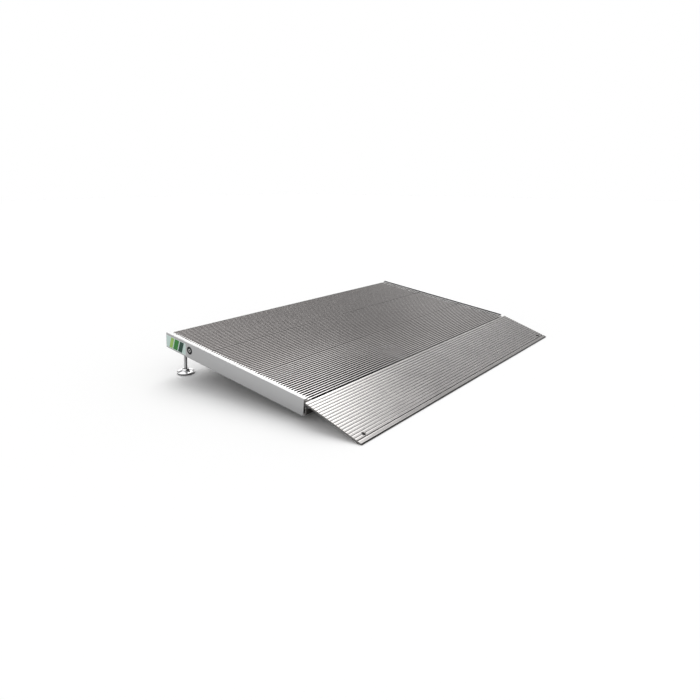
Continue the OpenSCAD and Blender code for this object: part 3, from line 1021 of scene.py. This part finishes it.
@dataclass
class SideRails:
    """The two channel rails, with a printed film and a round film on the left one.

    Attributes:
        plan: The shared sizes.
        soft: Rounding of the section's corners.
        film: Length, height, distance from the upper end and from the rail's top of the printed film.
        corner: Rounding of that film's corners.
        disc: Radius, distance from the upper end and from the rail's top of the round film.
        disc_steps: Steps around it.
        film_t: How far the films stand out from the rail, and how far they reach into it.
        light_and_shade: Crown of the left rail's top, of the right rail's top, and of the faces: a painted
            highlight on the left top, painted shade on the right top and on the faces.
        edge: Width of the outer edge on the left rail's top that is in painted shade, and its crown.
    """

    plan: Layout
    soft: float = 0.7 * MM
    film: tuple[float, float, float, float] = (75 * MM, 29 * MM, 1.2 * MM, 5.2 * MM)
    corner: float = 2 * MM
    disc: tuple[float, float, float] = (9.5 * MM, 91 * MM, 17.5 * MM)
    disc_steps: int = 64
    film_t: tuple[float, float] = (0.16 * MM, 0.05 * MM)
    light_and_shade: tuple[float, float, float] = (1.0, -0.4, 0.42)
    edge: tuple[float, float] = (3.5 * MM, 0.5)

    def section(self, side: Side) -> np.ndarray:
        """The channel's outline across the ramp, open towards the planks."""
        p = self.plan
        out, edge, wall = p.rail_out, p.rail_out - p.rail_flange, p.rail_out - p.rail_t
        top, low = p.rail_t, -p.plank_depth - p.rail_t
        points = np.array([
            [edge, top], [out - self.edge[0], top], [out, top], [out, low], [edge, low],
            [edge, -p.plank_depth], [wall, -p.plank_depth], [wall, 0.0], [edge, 0.0],
        ])
        return points * (side.value, 1.0)

    def build(self, finish: Finishes) -> None:
        """Makes both rails and the films."""
        p = self.plan
        for side in Side:
            outline = round_corners(self.section(side), self.soft, 5)
            stations = np.linspace(0.0, p.deck_back, 7)
            obj = carry(f"rail_{side.word}", outline, stations, lambda t, x, n: p.deck.place(x, t, n))
            middle = face_middles(obj)
            # Painted light and shade: left top, lips and sawn ends lit, faces, right top and the left top's
            # outer edge shaded
            painted_light = p.deck.height(middle) > p.rail_t - self.soft
            lip = np.abs(middle[:, 0]) < p.rail_out - p.rail_flange + 0.5 * self.soft
            along = p.deck.reach(middle)
            sawn = np.minimum(along, p.deck_back - along) < TOUCH
            crown = np.full(len(middle), self.light_and_shade[2])
            crown[painted_light] = self.light_and_shade[side is Side.RIGHT]
            crown[painted_light & (middle[:, 0] < self.edge[0] - p.rail_out)] = self.edge[1]
            crown[sawn | (lip & ~painted_light)] = 1.0
            set_crown(obj, crown)
            dress(obj, finish.rail, "deck", (f"side_rail_{side.word}",))
        self.films(finish)

    def films(self, finish: Finishes) -> None:
        """Makes the printed film and the round film on the left rail's outer face."""
        p = self.plan
        length, height, inset, drop = self.film
        t1, n1 = p.deck_back - inset, p.rail_t - drop
        box = np.array([[t1 - length, n1 - height], [t1, n1 - height], [t1, n1], [t1 - length, n1]])
        outline = round_corners(box, self.corner, 6)
        stations = (-p.rail_out - self.film_t[0], -p.rail_out + self.film_t[1])
        obj = carry("rail_film", outline, stations, p.deck.place)
        uv = (outline - box[0]) / (length, height)
        face_uv(obj, np.tile(uv, (2, 1)))
        dress(obj, finish.banner, "deck")
        radius, inset, drop = self.disc
        centre = np.array([p.deck_back - inset, p.rail_t - drop])
        outline = arc(centre, radius, 0.0, 2 * pi * (1 - 1 / self.disc_steps), self.disc_steps)
        obj = carry("rail_round_film", outline, stations, p.deck.place)
        face_uv(obj, np.tile((outline - centre) / (2 * radius) + 0.5, (2, 1)))
        dress(obj, finish.roundel, "deck")


@dataclass
class TransitionFlap:
    """The grooved flap, its hinge bead and the two screws that keep it in the socket.

    Attributes:
        plan: The shared sizes.
        pitch: Pitch of the grooves.
        first: First groove from the upper edge.
        groove: Width and depth of a groove.
        last: Distance of the deep groove from the tip, its depth and its width.
        nose: Length of the flat under the tip, and of the slope behind it.
        crown: Rise of a land's middle over its edges.
        ease: Length and depth of the bevel along the tip.
        soft: Rounding of the section's corners.
        steps: Number of places across the width, of the flap and of its bead.
        anchor: Hole radius, spot face radius, distance from the sides and from the tip.
        cutter: Lower and upper end of the anchor holes' cutter.
        keeper: Head radius, head height, shank radius, shank length and point of the keeper screws.
        light_and_shade: Depths under the top, and how bright the metal is at each, with painted shade in the
            grooves and holes.
        painted_across: Places across the width, and how many times brighter the grooves' painted shade is at
            each.
        front: Share of the bevel that gets the front edge's painted shade.
        sides: Crown of the flap's two sides, and of the bead, painted shade.
    """

    plan: Layout
    pitch: float = 7.4 * MM
    first: float = 7 * MM
    groove: tuple[float, float] = (2.2 * MM, 0.9 * MM)
    last: tuple[float, float, float] = (11.0 * MM, 1.5 * MM, 2.8 * MM)
    nose: tuple[float, float] = (9.5 * MM, 4.5 * MM)
    crown: float = 0.12 * MM
    ease: tuple[float, float] = (2.2 * MM, 1.1 * MM)
    soft: float = 0.4 * MM
    steps: tuple[int, int] = (33, 9)
    anchor: tuple[float, float, float, float] = (3.25 * MM, 5 * MM, 27.5 * MM, 17.5 * MM)
    cutter: tuple[float, float] = (-12 * MM, 4 * MM)
    keeper: tuple[float, float, float, float, float] = (4.5 * MM, 2.4 * MM, 1.5 * MM, 10 * MM, 1 * MM)
    light_and_shade: Curve = (
        (0.13 * MM, 0.3 * MM, 0.9 * MM, 1.5 * MM, 3.0 * MM, 3.5 * MM),
        (1.0, 0.15, 0.1, 0.02, 0.02, 0.6),
    )
    painted_across: Curve = ((-0.5, -0.15, 0.5), (3.5, 0.45, 0.15))
    front: float = 0.6
    sides: tuple[float, float] = (0.15, 0.6)

    def section(self) -> np.ndarray:
        """The flap's outline: grooved top, eased front edge, flat on the floor, plain underside.

        A land between two grooves is a parabola of seven points that falls by the crown at both of its edges.
        """
        p = self.plan
        b = radians(p.flap_slope)
        room = p.flap_len - self.last[0] - self.first - self.pitch / 2
        places = self.first + self.pitch * np.arange(1 + floor(room / self.pitch))
        places = np.append(places, p.flap_len - self.last[0])
        depth = np.append(np.full(len(places) - 1, self.groove[1]), self.last[1])
        half = np.append(np.full(len(places) - 1, self.groove[0]), self.last[2]) / 2
        starts = np.append(0.0, places + half)
        ends = np.append(places - half, p.flap_len - self.ease[0])
        s = np.linspace(0.0, 1.0, 7)
        land_t = -(starts[:, None] * (1 - s) + ends[:, None] * s)
        land_n = np.broadcast_to(-self.crown * (2 * s - 1) ** 2, land_t.shape)
        groove_t = -(places[:, None] + np.array([-0.5, 0.5]) * half[:, None])
        groove_n = np.broadcast_to(-depth[:, None], groove_t.shape)
        t = np.append(np.concatenate((land_t[:-1], groove_t), axis=1), land_t[-1])
        n = np.append(np.concatenate((land_n[:-1], groove_n), axis=1), land_n[-1])
        floor_n = -(p.tip_h + self.nose[0] * sin(b)) / cos(b)
        upper = np.array([[0, -p.flap_t]])
        lower = np.array([
            [-p.flap_len - self.ease[1] * tan(b), -self.ease[1]],
            [-p.flap_len - p.tip_h * sin(b), -p.tip_h * cos(b)],
            [self.nose[0] - p.flap_len, floor_n],
            [self.nose[0] + self.nose[1] - p.flap_len, -p.flap_t],
        ])
        return np.vstack((upper, np.stack((t, n), axis=-1), lower))

    def drill(self, obj: bpy.types.Object) -> None:
        """Cuts the two anchor holes and their spot faces with turned cutters."""
        p = self.plan
        hole, spot, side, tip = self.anchor
        low, high = self.cutter
        face = -self.groove[1]
        profile = np.array([[0, low], [hole, low], [hole, face], [spot, face], [spot, high], [0, high]])
        x, t = p.flap_w / 2 - side, tip - p.flap_len
        local, faces = repeat(*turn(profile, 48, closed=False), np.array([[-x, t, 0], [x, t, 0]]))
        cutter = make_object("anchor_cutter", p.flap.place(*local.T), faces)
        cut = obj.modifiers.new("anchor holes", "BOOLEAN")
        cut.operation, cut.solver, cut.object = "DIFFERENCE", "EXACT", cutter
        graph = bpy.context.evaluated_depsgraph_get()
        drilled = bpy.data.meshes.new_from_object(obj.evaluated_get(graph))
        obj.modifiers.clear()
        obj.data = drilled
        drilled.set_sharp_from_angle(angle=radians(30))
        bpy.data.objects.remove(cutter)

    def shade(self, middle: np.ndarray) -> np.ndarray:
        """How bright each face's metal is: lands full, painted shade in the grooves and holes, on the sides
        and on the front edge.

        Args:
            middle: Middles of the faces, shape (N, 3).

        Returns:
            The crown of each face.
        """
        p = self.plan
        depth = -p.flap.height(middle)
        # Painted shade by depth: grooves, holes and the underside darker than the lands
        crown = np.interp(depth, *self.light_and_shade)
        # The grooves' painted shade lighter towards the left, a painted highlight where the crown passes 1
        painted_across = np.interp(middle[:, 0] / p.flap_w, *self.painted_across)
        groove = (depth > self.light_and_shade[0][0]) & (depth < (self.groove[1] + self.last[1]) / 2)
        crown[groove] *= painted_across[groove]
        # Painted shade on the flap's sides and along its front edge
        side = p.flap_w / 2 - np.abs(middle[:, 0]) < TOUCH
        front = p.flap.reach(middle) + p.flap_len < self.front * self.ease[0]
        crown[front] = 0.0
        crown[side] = self.sides[0]
        return crown

    def bead(self) -> np.ndarray:
        """The bead and its neck: most of a circle, then two straight sides up into the flap."""
        p = self.plan
        gap = asin(p.neck_t / 2 / p.bead_r)
        ring = arc((-p.bead_back, -p.bead_drop), p.bead_r, pi / 2 + gap, 5 * pi / 2 - gap, 40)
        top = -p.flap_t / 2
        neck = np.array([[p.neck_t / 2 - p.bead_back, top], [-p.neck_t / 2 - p.bead_back, top]])
        return np.vstack((ring, neck))

    def build(self, finish: Finishes) -> None:
        """Makes the flap as one piece with its bead, and the keeper screws."""
        p = self.plan
        outline = round_corners(self.section(), self.soft)
        half = p.flap_w / 2
        obj = carry("flap", outline, np.linspace(-half, half, self.steps[0]), p.flap.place)
        self.drill(obj)
        set_crown(obj, self.shade(face_middles(obj)))
        dress(obj, finish.flap, "flap", ("transition_flap",))
        span = p.plank_w / 2 + p.lip_clear
        bead = carry("flap_bead", self.bead(), np.linspace(-span, span, self.steps[1]), p.flap.place)
        # The bead's crown is painted shade
        set_crown(bead, np.full(len(bead.data.polygons), self.sides[1]))
        dress(bead, finish.flap, "flap", ())
        self.screws(finish, span)

    def screws(self, finish: Finishes, span: float) -> None:
        """Makes the two keeper screws: a domed head with a cross recess, and a short pointed shank.

        The head's height at radius r is h (1 - 0.35 (r / R)^2), less a recess of 0.45 h where the smaller of
        |x| and |y| is under a sixth of R and r is under 0.6 R.

        Args:
            finish: The finishes.
            span: Distance of the heads' seats from the middle.
        """
        p = self.plan
        big, tall, shank, long, point = self.keeper
        share = np.linspace(0.0, 1.0, 16)
        dome = np.stack((share * big, tall * (1 - 0.35 * share**2)), axis=-1)
        stem = [[big, 0.0], [shank, 0.0], [shank, -long], [0.0, -long - point]]
        points, faces = turn(np.vstack((dome, stem)), 48, closed=False)
        away = np.hypot(points[:, 0], points[:, 1])
        arm = np.minimum(np.abs(points[:, 0]), np.abs(points[:, 1])) < big / 6
        recess = arm & (away < 0.6 * big) & (points[:, 2] > 0.5 * tall)
        points[:, 2] -= np.where(recess, 0.45 * tall, 0.0)
        centre = p.flap.place(np.array(0.0), np.array(-p.bead_back), np.array(-p.bead_drop))
        both = []
        for side in Side:
            out = side.value * (span + points[:, 2])
            both.append(np.stack((out, points[:, 0] * side.value, points[:, 1]), axis=-1) + centre)
        every = [[v + i * len(points) for v in f] for i in range(2) for f in faces]
        obj = make_object("keeper_screws", np.vstack(both), every)
        # The screws' very dark colour is painted shade at the hinge's ends
        dress(obj, finish.black, "flap", ("hinge_keeper_screws",))


@dataclass
class Rivets:
    """The rivets under the rails and the leg plates, with domed heads.

    Attributes:
        plan: The shared sizes.
        rail: Shank radius, head radius, head height and grip of the rail rivets.
        plate: The same for the leg plates.
        edge: Distance of a rail rivet from its plank's edge.
        rows: Distance of the plate rivets' lower row from the leg, and of the upper row from the deck's end.
        apart: Half the distance between the two rivets of a row.
        plate_t: Thickness of a leg plate.
    """

    plan: Layout
    rail: tuple[float, float, float, float] = (1.6 * MM, 3.1 * MM, 1.0 * MM, 6.2 * MM)
    plate: tuple[float, float, float, float] = (2.4 * MM, 4.6 * MM, 1.4 * MM, 6.0 * MM)
    edge: float = 9.5 * MM
    rows: tuple[float, float] = (21.3 * MM, 11 * MM)
    apart: float = 15 * MM
    plate_t: float = 3 * MM

    @staticmethod
    def shape(shank: float, head: float, tall: float, grip: float) -> Shape:
        """One rivet, head down: a quarter-round dome, the shank, and a set end 1.35 times as wide."""
        angle = np.linspace(0.0, pi / 2, 7)
        dome = np.stack((head * np.sin(angle), -tall * np.cos(angle)), axis=-1)
        stem = np.array([[shank, 0.0], [shank, grip]])
        swell = np.linspace(0.0, pi / 2, 5)
        bulb = np.stack((1.35 * shank * np.cos(swell), grip + shank * np.sin(swell)), axis=-1)
        profile = np.vstack((dome, stem, bulb))
        profile[-1, 0] = 0.0
        return turn(profile, 24, closed=False)

    def build(self, finish: Finishes) -> None:
        """Makes both groups of rivets, each one mesh."""
        p = self.plan
        ends = [*(s - p.seam for s in p.starts[1:]), p.deck_back]
        places = np.array([[s + self.edge, e - self.edge] for s, e in zip(p.starts, ends)]).ravel()
        x = p.rail_out - (p.rail_t + p.rail_flange) / 2
        grid = np.array([[s.value * x, t, -p.plank_depth - p.rail_t] for s in Side for t in places])
        self.group("rivets_rail", self.rail, grid, finish, "rail_rivets")
        places = (p.leg_t - self.rows[0], p.deck_back - self.rows[1])
        spots = [s.value * p.leg_x for s in Side]
        shifts = (-self.apart, self.apart)
        n = -p.plank_depth - self.plate_t
        grid = np.array([[x + shift, t, n] for x in spots for t in places for shift in shifts])
        self.group("rivets_plate", self.plate, grid, finish, "plate_rivets")

    def group(
        self, name: str, sizes: tuple[float, ...], grid: np.ndarray, finish: Finishes, node: str
    ) -> None:
        """Repeats one rivet over a list of places in the deck's slope.

        Args:
            name: The group's name.
            sizes: Shank radius, head radius, head height and grip.
            grid: Places of the rivets, shape (K, 3).
            finish: The finishes.
            node: The CAD node that the group replaces.
        """
        points, faces = repeat(*self.shape(*sizes), grid)
        obj = make_object(name, self.plan.deck.place(*points.T), faces)
        dress(obj, finish.rivet, "deck", (node,))


@dataclass
class LevellingLeg:
    """One levelling leg: plate, bushing, lock nut, threaded stud, ball seat and foot.

    Attributes:
        plan: The shared sizes.
        side: Which side it is on.
        stud_r: Outer radius of the thread.
        pitch: Thread pitch.
        thread: Depth of the thread.
        point: Chamfer at the stud's upper end.
        reach: Length of the stud above the planks' underside.
        ball_r: Radius of the ball.
        neck: Radius of the neck over the ball, its length, and the length of the shoulder up to the thread.
        nut: Width over flats, height and place of the nut's top.
        nut_land: Radius of the nut's flat faces, as a share of its width.
        nut_bore: Clearance of the nut's bore round the thread, and width and depth of its countersink.
        pad_t: Thickness of the pad.
        pad_edge: How far the pad stays inside the foot, its lower easing along and up, and its upper easing.
        pad_rings: Number and depth of the rings under the pad.
        cup_r: Radius of the cup for the ball seat.
    """

    plan: Layout
    side: Side
    stud_r: float = 4 * MM
    pitch: float = 1.25 * MM
    thread: float = 0.62 * MM
    point: float = 0.8 * MM
    reach: float = 8 * MM
    ball_r: float = 4.6 * MM
    neck: tuple[float, float, float] = (3 * MM, 6 * MM, 1 * MM)
    nut: tuple[float, float, float] = (13 * MM, 4.5 * MM, -40.3 * MM)
    nut_land: float = 0.47
    nut_bore: tuple[float, float, float] = (0.1 * MM, 0.8 * MM, 0.8 * MM)
    pad_t: float = 2.5 * MM
    pad_edge: tuple[float, float, float, float] = (0.8 * MM, 0.6 * MM, 0.7 * MM, 0.3 * MM)
    pad_rings: tuple[int, float] = (5, 0.25 * MM)
    cup_r: float = 6.3 * MM

    def up(self, points: np.ndarray) -> np.ndarray:
        """Puts points about the leg's axis into the row frame."""
        p = self.plan
        return p.deck.place(points[:, 0] + self.side.value * p.leg_x, points[:, 1] + p.leg_t, points[:, 2])

    def stud(self) -> Shape:
        """The stud: ball, neck, and a thread whose radius falls by the thread's depth away from its crest.

        On the threaded length the radius is R - d |2 frac(h / pitch - angle / 2 pi) - 1|, with the depth d
        fading to nothing over one pitch at both ends.
        """
        p = self.plan
        low, high = p.ball_n, -p.plank_depth + self.reach
        slim, long, shoulder = self.neck
        base, end = low + long + shoulder, high - self.point
        ball = arc((0.0, low), self.ball_r, -pi / 2, pi / 2 - asin(slim / self.ball_r), 22)
        rows = np.arange(base, end, self.pitch / 7)
        stem = np.stack((np.full(len(rows), self.stud_r), rows), axis=-1)
        tip = [[self.stud_r - self.point, high], [0.0, high]]
        profile = np.vstack((ball, [[slim, low + long]], stem, tip))
        profile[0, 0] = 0.0
        points, faces = turn(profile, 28, closed=False)
        height = points[:, 2]
        phase = height / self.pitch - np.arctan2(points[:, 1], points[:, 0]) / (2 * pi)
        wave = np.abs(2 * (phase - np.floor(phase)) - 1)
        fade = np.clip(np.minimum(height - base, end - height) / self.pitch, 0, 1)
        outside = np.hypot(points[:, 0], points[:, 1]) > 0.999 * self.stud_r
        on_stem = outside & (height > base - TOUCH)
        scale = np.where(on_stem, 1 - self.thread * wave * fade / self.stud_r, 1.0)
        points[:, :2] *= scale[:, None]
        return points, faces

    def hex_nut(self) -> Shape:
        """The lock nut: a six-sided ring whose corners are cut by a shallow cone at both faces.

        The outer radius is (flats / 2) / cos of the angle to the nearest flat's middle; a corner's height
        falls by tan 30 for each millimetre beyond a circle just inside the flats.
        """
        flats, tall, top = self.nut
        clear, wide, deep = self.nut_bore
        segments = 96
        angle = 2 * pi * np.arange(segments) / segments
        off = (angle + pi / 6) % (pi / 3) - pi / 6
        outer = flats / 2 / np.cos(off)
        flat = np.zeros(segments)
        bore = flat + self.stud_r + clear
        ease = bore + wide
        land = flat + self.nut_land * flats
        drop = (outer - land) * tan(radians(30))
        radii = np.stack((bore, ease, land, outer, outer, land, ease, bore))
        low = np.stack((flat + deep, flat, flat, drop))
        ends = np.concatenate((low, tall - low[::-1]))
        xy = np.stack((radii * np.cos(angle), radii * np.sin(angle)), axis=-1)
        points = np.concatenate((xy, (ends + top - tall)[..., None]), axis=-1).reshape(-1, 3)
        return points, ring_faces(len(radii), segments, wrap_rows=True).tolist()

    def foot(self) -> Shape:
        """The pressed base: rolled rim, shallow valley, bell up to the cup, and the cup's inside."""
        r, z = self.plan.foot_r, self.pad_t
        cup, ball = self.cup_r, self.plan.ball_z
        rim = np.array([
            [3.66 * MM, z], [r - 0.6 * MM, z], [r, z + 0.6 * MM], [r, z + 2 * MM],
            [r - 0.8 * MM, z + 2.8 * MM], [r - 2 * MM, z + 2.6 * MM],
            [r - 3.6 * MM, z + 1.9 * MM], [r - 6 * MM, z + 2.5 * MM],
            [cup + 4.2 * MM, z + 5 * MM], [cup + 2.2 * MM, ball + 2.4 * MM],
            [cup + 1.6 * MM, ball + 4.4 * MM], [cup, ball + 4.4 * MM],
        ])
        pocket = arc((0.0, ball), cup, 0.0, -asin((ball - z) / cup), 12)
        outline = np.vstack((round_corners(rim, 1.2 * MM, 6)[3:-3], pocket[:-1]))
        return turn(outline, 72, closed=True)

    def pad(self) -> Shape:
        """The rubber pad: a disc with an eased edge and shallow rings under it.

        At a share s of its radius the underside is raised by half the rings' depth times 1 - cos(2 pi N s).
        """
        inside, along, up, ease = self.pad_edge
        count, deep = self.pad_rings
        r, top = self.plan.foot_r - inside, self.pad_t
        share = np.linspace(0.0, 1.0, 40)
        rise = deep * (0.5 - 0.5 * np.cos(2 * pi * count * share))
        under = np.stack((share * (r - along), rise), axis=-1)
        edge = [[r, up], [r, top - ease], [r - ease, top], [0.0, top]]
        return turn(np.vstack((under, edge)), 72, closed=False)

    def build(self, finish: Finishes) -> None:
        """Makes the turned pieces and dresses the CAD nodes that stay."""
        p = self.plan
        word = self.side.word
        points, faces = self.stud()
        obj = make_object(f"stud_{word}", self.up(points), faces, 50.0)
        dress(obj, finish.stud, f"{word}_stud", (f"leg_stud_{word}",))
        points, faces = self.hex_nut()
        obj = make_object(f"nut_{word}", self.up(points), faces, 25.0)
        dress(obj, finish.plated, f"{word}_lock_nut", (f"lock_nut_{word}",))
        spot = np.array([self.side.value * p.leg_x, p.foot_y, 0.0])
        points, faces = self.foot()
        obj = make_object(f"foot_{word}", points + spot, faces, 35.0)
        dress(obj, finish.bright, f"{word}_foot", (f"foot_base_{word}",))
        points, faces = self.pad()
        obj = make_object(f"pad_{word}", points + spot, faces, 35.0)
        dress(obj, finish.rubber, f"{word}_foot", (f"foot_pad_{word}",))
        for node in ("leg_plate", "leg_bushing", "foot_ring"):
            dress_node(f"{node}_{word}", finish.plated)
        dress_node(f"ball_seat_{word}", finish.nylon)


# Studio


def aim(azimuth: float, elevation: float) -> tuple[float, float, float]:
    """The unit vector at an azimuth from +X towards +Y and an elevation, both in degrees."""
    a, e = radians(azimuth), radians(elevation)
    return cos(e) * cos(a), cos(e) * sin(a), sin(e)


@dataclass(frozen=True)
class Glow:
    """A lamp as metal shows it: a soft round patch of the room's wall.

    Attributes:
        azimuth: Its direction from +X towards +Y, degrees.
        elevation: Its height above the horizon, degrees.
        inner: Angle to its middle within which it is full.
        outer: Angle past which it is gone.
        strength: What it adds to the wall.
    """

    azimuth: float
    elevation: float
    inner: float
    outer: float
    strength: float


@dataclass(frozen=True)
class Screen:
    """A long grey screen on one side of the room as metal shows it, or a lit panel.

    Attributes:
        azimuth: Direction of its middle from +X towards +Y, degrees.
        half: Azimuth to either side of its middle within which it is full, degrees.
        edge: Azimuth to either side past which it is gone, degrees.
        top: Elevation at which it is full, and on from there.
        fade: Elevation at which it is gone, above top or below it.
        strength: What it takes from the wall; negative for a lit panel.
    """

    azimuth: float
    half: float
    edge: float
    top: float
    fade: float
    strength: float


class Wall(Nodes):
    """The room's light under construction: what each direction of its wall shows to metal."""

    def __init__(self, tree: bpy.types.NodeTree) -> None:
        """Starts with the direction looked in, the sine of its dip and the cosine of its dip.

        Args:
            tree: The world's nodes.
        """
        super().__init__(tree)
        self.where = self.add("TexCoord").outputs["Generated"]
        self.down = self.cosine((0.0, 0.0, -1.0))
        rest = self.math("SUBTRACT", 1.0, self.math("MULTIPLY", self.down, self.down))
        self.flat = self.math("SQRT", rest)

    def cosine(self, direction: tuple[float, float, float]) -> bpy.types.NodeSocket:
        """The cosine of the angle to a direction."""
        dot = self.add("VectorMath", operation="DOT_PRODUCT")
        self.join(self.where, dot.inputs[0])
        dot.inputs[1].default_value = direction
        return dot.outputs["Value"]

    def glow(self, lamp: Glow) -> bpy.types.NodeSocket:
        """What a glow adds: a smooth step of the cosine of the angle to its middle."""
        away = self.cosine(aim(lamp.azimuth, lamp.elevation))
        edges = (cos(radians(lamp.outer)), cos(radians(lamp.inner)))
        return self.spread(away, edges, (0.0, lamp.strength), smooth=True)

    def screen(self, panel: Screen) -> bpy.types.NodeSocket:
        """What a screen takes: a smooth step of the elevation's sine times one of the azimuth's cosine."""
        rows = (-sin(radians(panel.fade)), -sin(radians(panel.top)))
        low = self.spread(self.down, rows, (0.0, panel.strength), smooth=True)
        turned = self.math("DIVIDE", self.cosine(aim(panel.azimuth, 0.0)), self.flat)
        sides = (cos(radians(panel.edge)), cos(radians(panel.half)))
        return self.math("MULTIPLY", low, self.spread(turned, sides, (0.0, 1.0), smooth=True))

    def white(self, strength: object) -> bpy.types.NodeSocket:
        """White light of a strength."""
        node = self.add("Background")
        node.inputs["Color"].default_value = (1.0, 1.0, 1.0, 1.0)
        self.join(strength, node.inputs["Strength"])
        return node.outputs["Background"]


@dataclass
class Studio:
    """Floor, light and camera.

    Attributes:
        eye: Where the camera stands.
        yaw: Its turn from +Y towards +X, degrees.
        pitch: Its tilt below the horizon, degrees.
        lens: Focal length in millimetres on a 36 mm wide sensor.
        sky: Light of the room on matt surfaces.
        key: Strength of the main lamp.
        lamp: Azimuth and elevation of the main lamp, degrees.
        spread: Angle over which the main lamp's light comes, degrees.
        screens: The grey screens that metal shows, and one lit panel.
        glows: The lamps as metal shows them.
        dim: The darkest grey that the screens leave of the wall.
        pale: Grey of the floor as it is seen, just over 1 so that it comes up to the wall's white, and as it
            lights.
        ground: Half the floor's width, and its height just under the feet.
    """

    eye: tuple[float, float, float] = (-1.1648, -0.8425, 0.4550)
    yaw: float = 51.17
    pitch: float = 17.18
    lens: float = 28.25
    sky: float = 0.62
    key: float = 1.5
    lamp: tuple[float, float] = (52.0, 48.0)
    spread: float = 45.0
    screens: tuple[Screen, ...] = (
        Screen(75.5, 24.0, 49.0, 33.0, 42.0, 0.7),
        Screen(9.0, 9.0, 15.0, 41.0, 45.0, 0.66),
        Screen(-57.5, 10.0, 25.0, 3.0, 51.0, 0.44),
        Screen(52.0, 18.0, 22.0, 32.0, 24.0, -2.5),
        Screen(-62.0, 24.0, 35.0, 28.0, 7.0, 0.62),
    )
    glows: tuple[Glow, ...] = (Glow(29.5, 44.0, 6.5, 12.0, 0.75), Glow(20.5, 21.5, 4.0, 8.0, 0.8))
    dim: float = 0.3
    pale: tuple[float, float] = (1.03, 0.72)
    ground: tuple[float, float] = (14.0, -0.2 * MM)

    def camera(self) -> None:
        """Puts the camera where the photograph was taken from."""
        data = bpy.data.cameras.new("camera")
        data.sensor_fit = "HORIZONTAL"
        data.sensor_width = 36.0
        data.lens = self.lens
        data.clip_start = 0.02
        data.clip_end = 60.0
        obj = bpy.data.objects.new("camera", data)
        obj.location = self.eye
        obj.rotation_euler = Euler((radians(90 - self.pitch), 0.0, radians(-self.yaw)), "XYZ")
        bpy.context.scene.collection.objects.link(obj)
        bpy.context.scene.camera = obj

    def floor(self) -> None:
        """Lays a pale floor, white to the camera, that keeps the ramp's shadow and is clear from below."""
        half, level = self.ground
        corners = ((-half, -half), (half, -half), (half, half), (-half, half))
        mesh = bpy.data.meshes.new("floor")
        mesh.from_pydata([(x, y, level) for x, y in corners], [], [(0, 1, 2, 3)])
        obj = bpy.data.objects.new("floor", mesh)
        bpy.context.scene.collection.objects.link(obj)
        material = bpy.data.materials.new("floor")
        material.use_nodes = True
        nodes = Nodes(material.node_tree)
        seen, lit = nodes.add("BsdfDiffuse"), nodes.add("BsdfDiffuse")
        for shader, grey in zip((seen, lit), self.pale):
            shader.inputs["Color"].default_value = (grey, grey, grey, 1.0)
        over = nodes.mix(nodes.looked_at(), lit.outputs["BSDF"], seen.outputs["BSDF"])
        below = nodes.add("NewGeometry").outputs["Backfacing"]
        both = nodes.mix(below, over, nodes.add("BsdfTransparent").outputs["BSDF"])
        nodes.join(both, nodes.add("OutputMaterial").inputs["Surface"])
        mesh.materials.append(material)

    def room(self) -> None:
        """Lights the room evenly; camera, glossy and transmitted rays see its white wall.

        All but the camera's rays also find the glows, the screens and the lit panel on that wall.
        """
        world = bpy.data.worlds.new("room")
        bpy.context.scene.world = world
        world.use_nodes = True
        nodes = Wall(world.node_tree)
        shine = 1.0
        for lamp in self.glows:
            shine = nodes.math("ADD", shine, nodes.glow(lamp))
        for panel in self.screens:
            shine = nodes.math("SUBTRACT", shine, nodes.screen(panel))
        shine = nodes.math("MAXIMUM", shine, self.dim)
        camera = nodes.add("LightPath").outputs["Is Camera Ray"]
        others = nodes.math("MULTIPLY", nodes.math("SUBTRACT", 1.0, camera), shine)
        wall = nodes.white(nodes.math("ADD", camera, others))
        light = nodes.mix(nodes.looked_at(), nodes.white(self.sky), wall)
        nodes.join(light, nodes.add("OutputWorld").inputs["Surface"])

    def lamps(self) -> None:
        """Hangs one broad soft lamp behind and to the right; its glow in metal is in the room's wall."""
        data = bpy.data.lights.new("key", "SUN")
        data.energy = self.key
        data.angle = radians(self.spread)
        obj = bpy.data.objects.new("key", data)
        obj.rotation_euler = Vector(aim(*self.lamp)).to_track_quat("Z", "Y").to_euler()
        obj.visible_glossy = False
        bpy.context.scene.collection.objects.link(obj)

    def build(self) -> None:
        """Sets up camera, floor, room and lamps, and the plain view transform."""
        self.camera()
        self.floor()
        self.room()
        self.lamps()
        bpy.context.scene.view_settings.view_transform = "Standard"


def main() -> None:
    logging.basicConfig(level=logging.INFO, format="%(name)s: %(message)s")
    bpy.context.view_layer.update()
    plan = Layout()
    finish = Finishes()
    Studio().build()
    DeckPlanks(plan).build(finish)
    SideRails(plan).build(finish)
    TransitionFlap(plan).build(finish)
    Rivets(plan).build(finish)
    for side in Side:
        LevellingLeg(plan, side).build(finish)


if __name__ == "__main__":
    main()
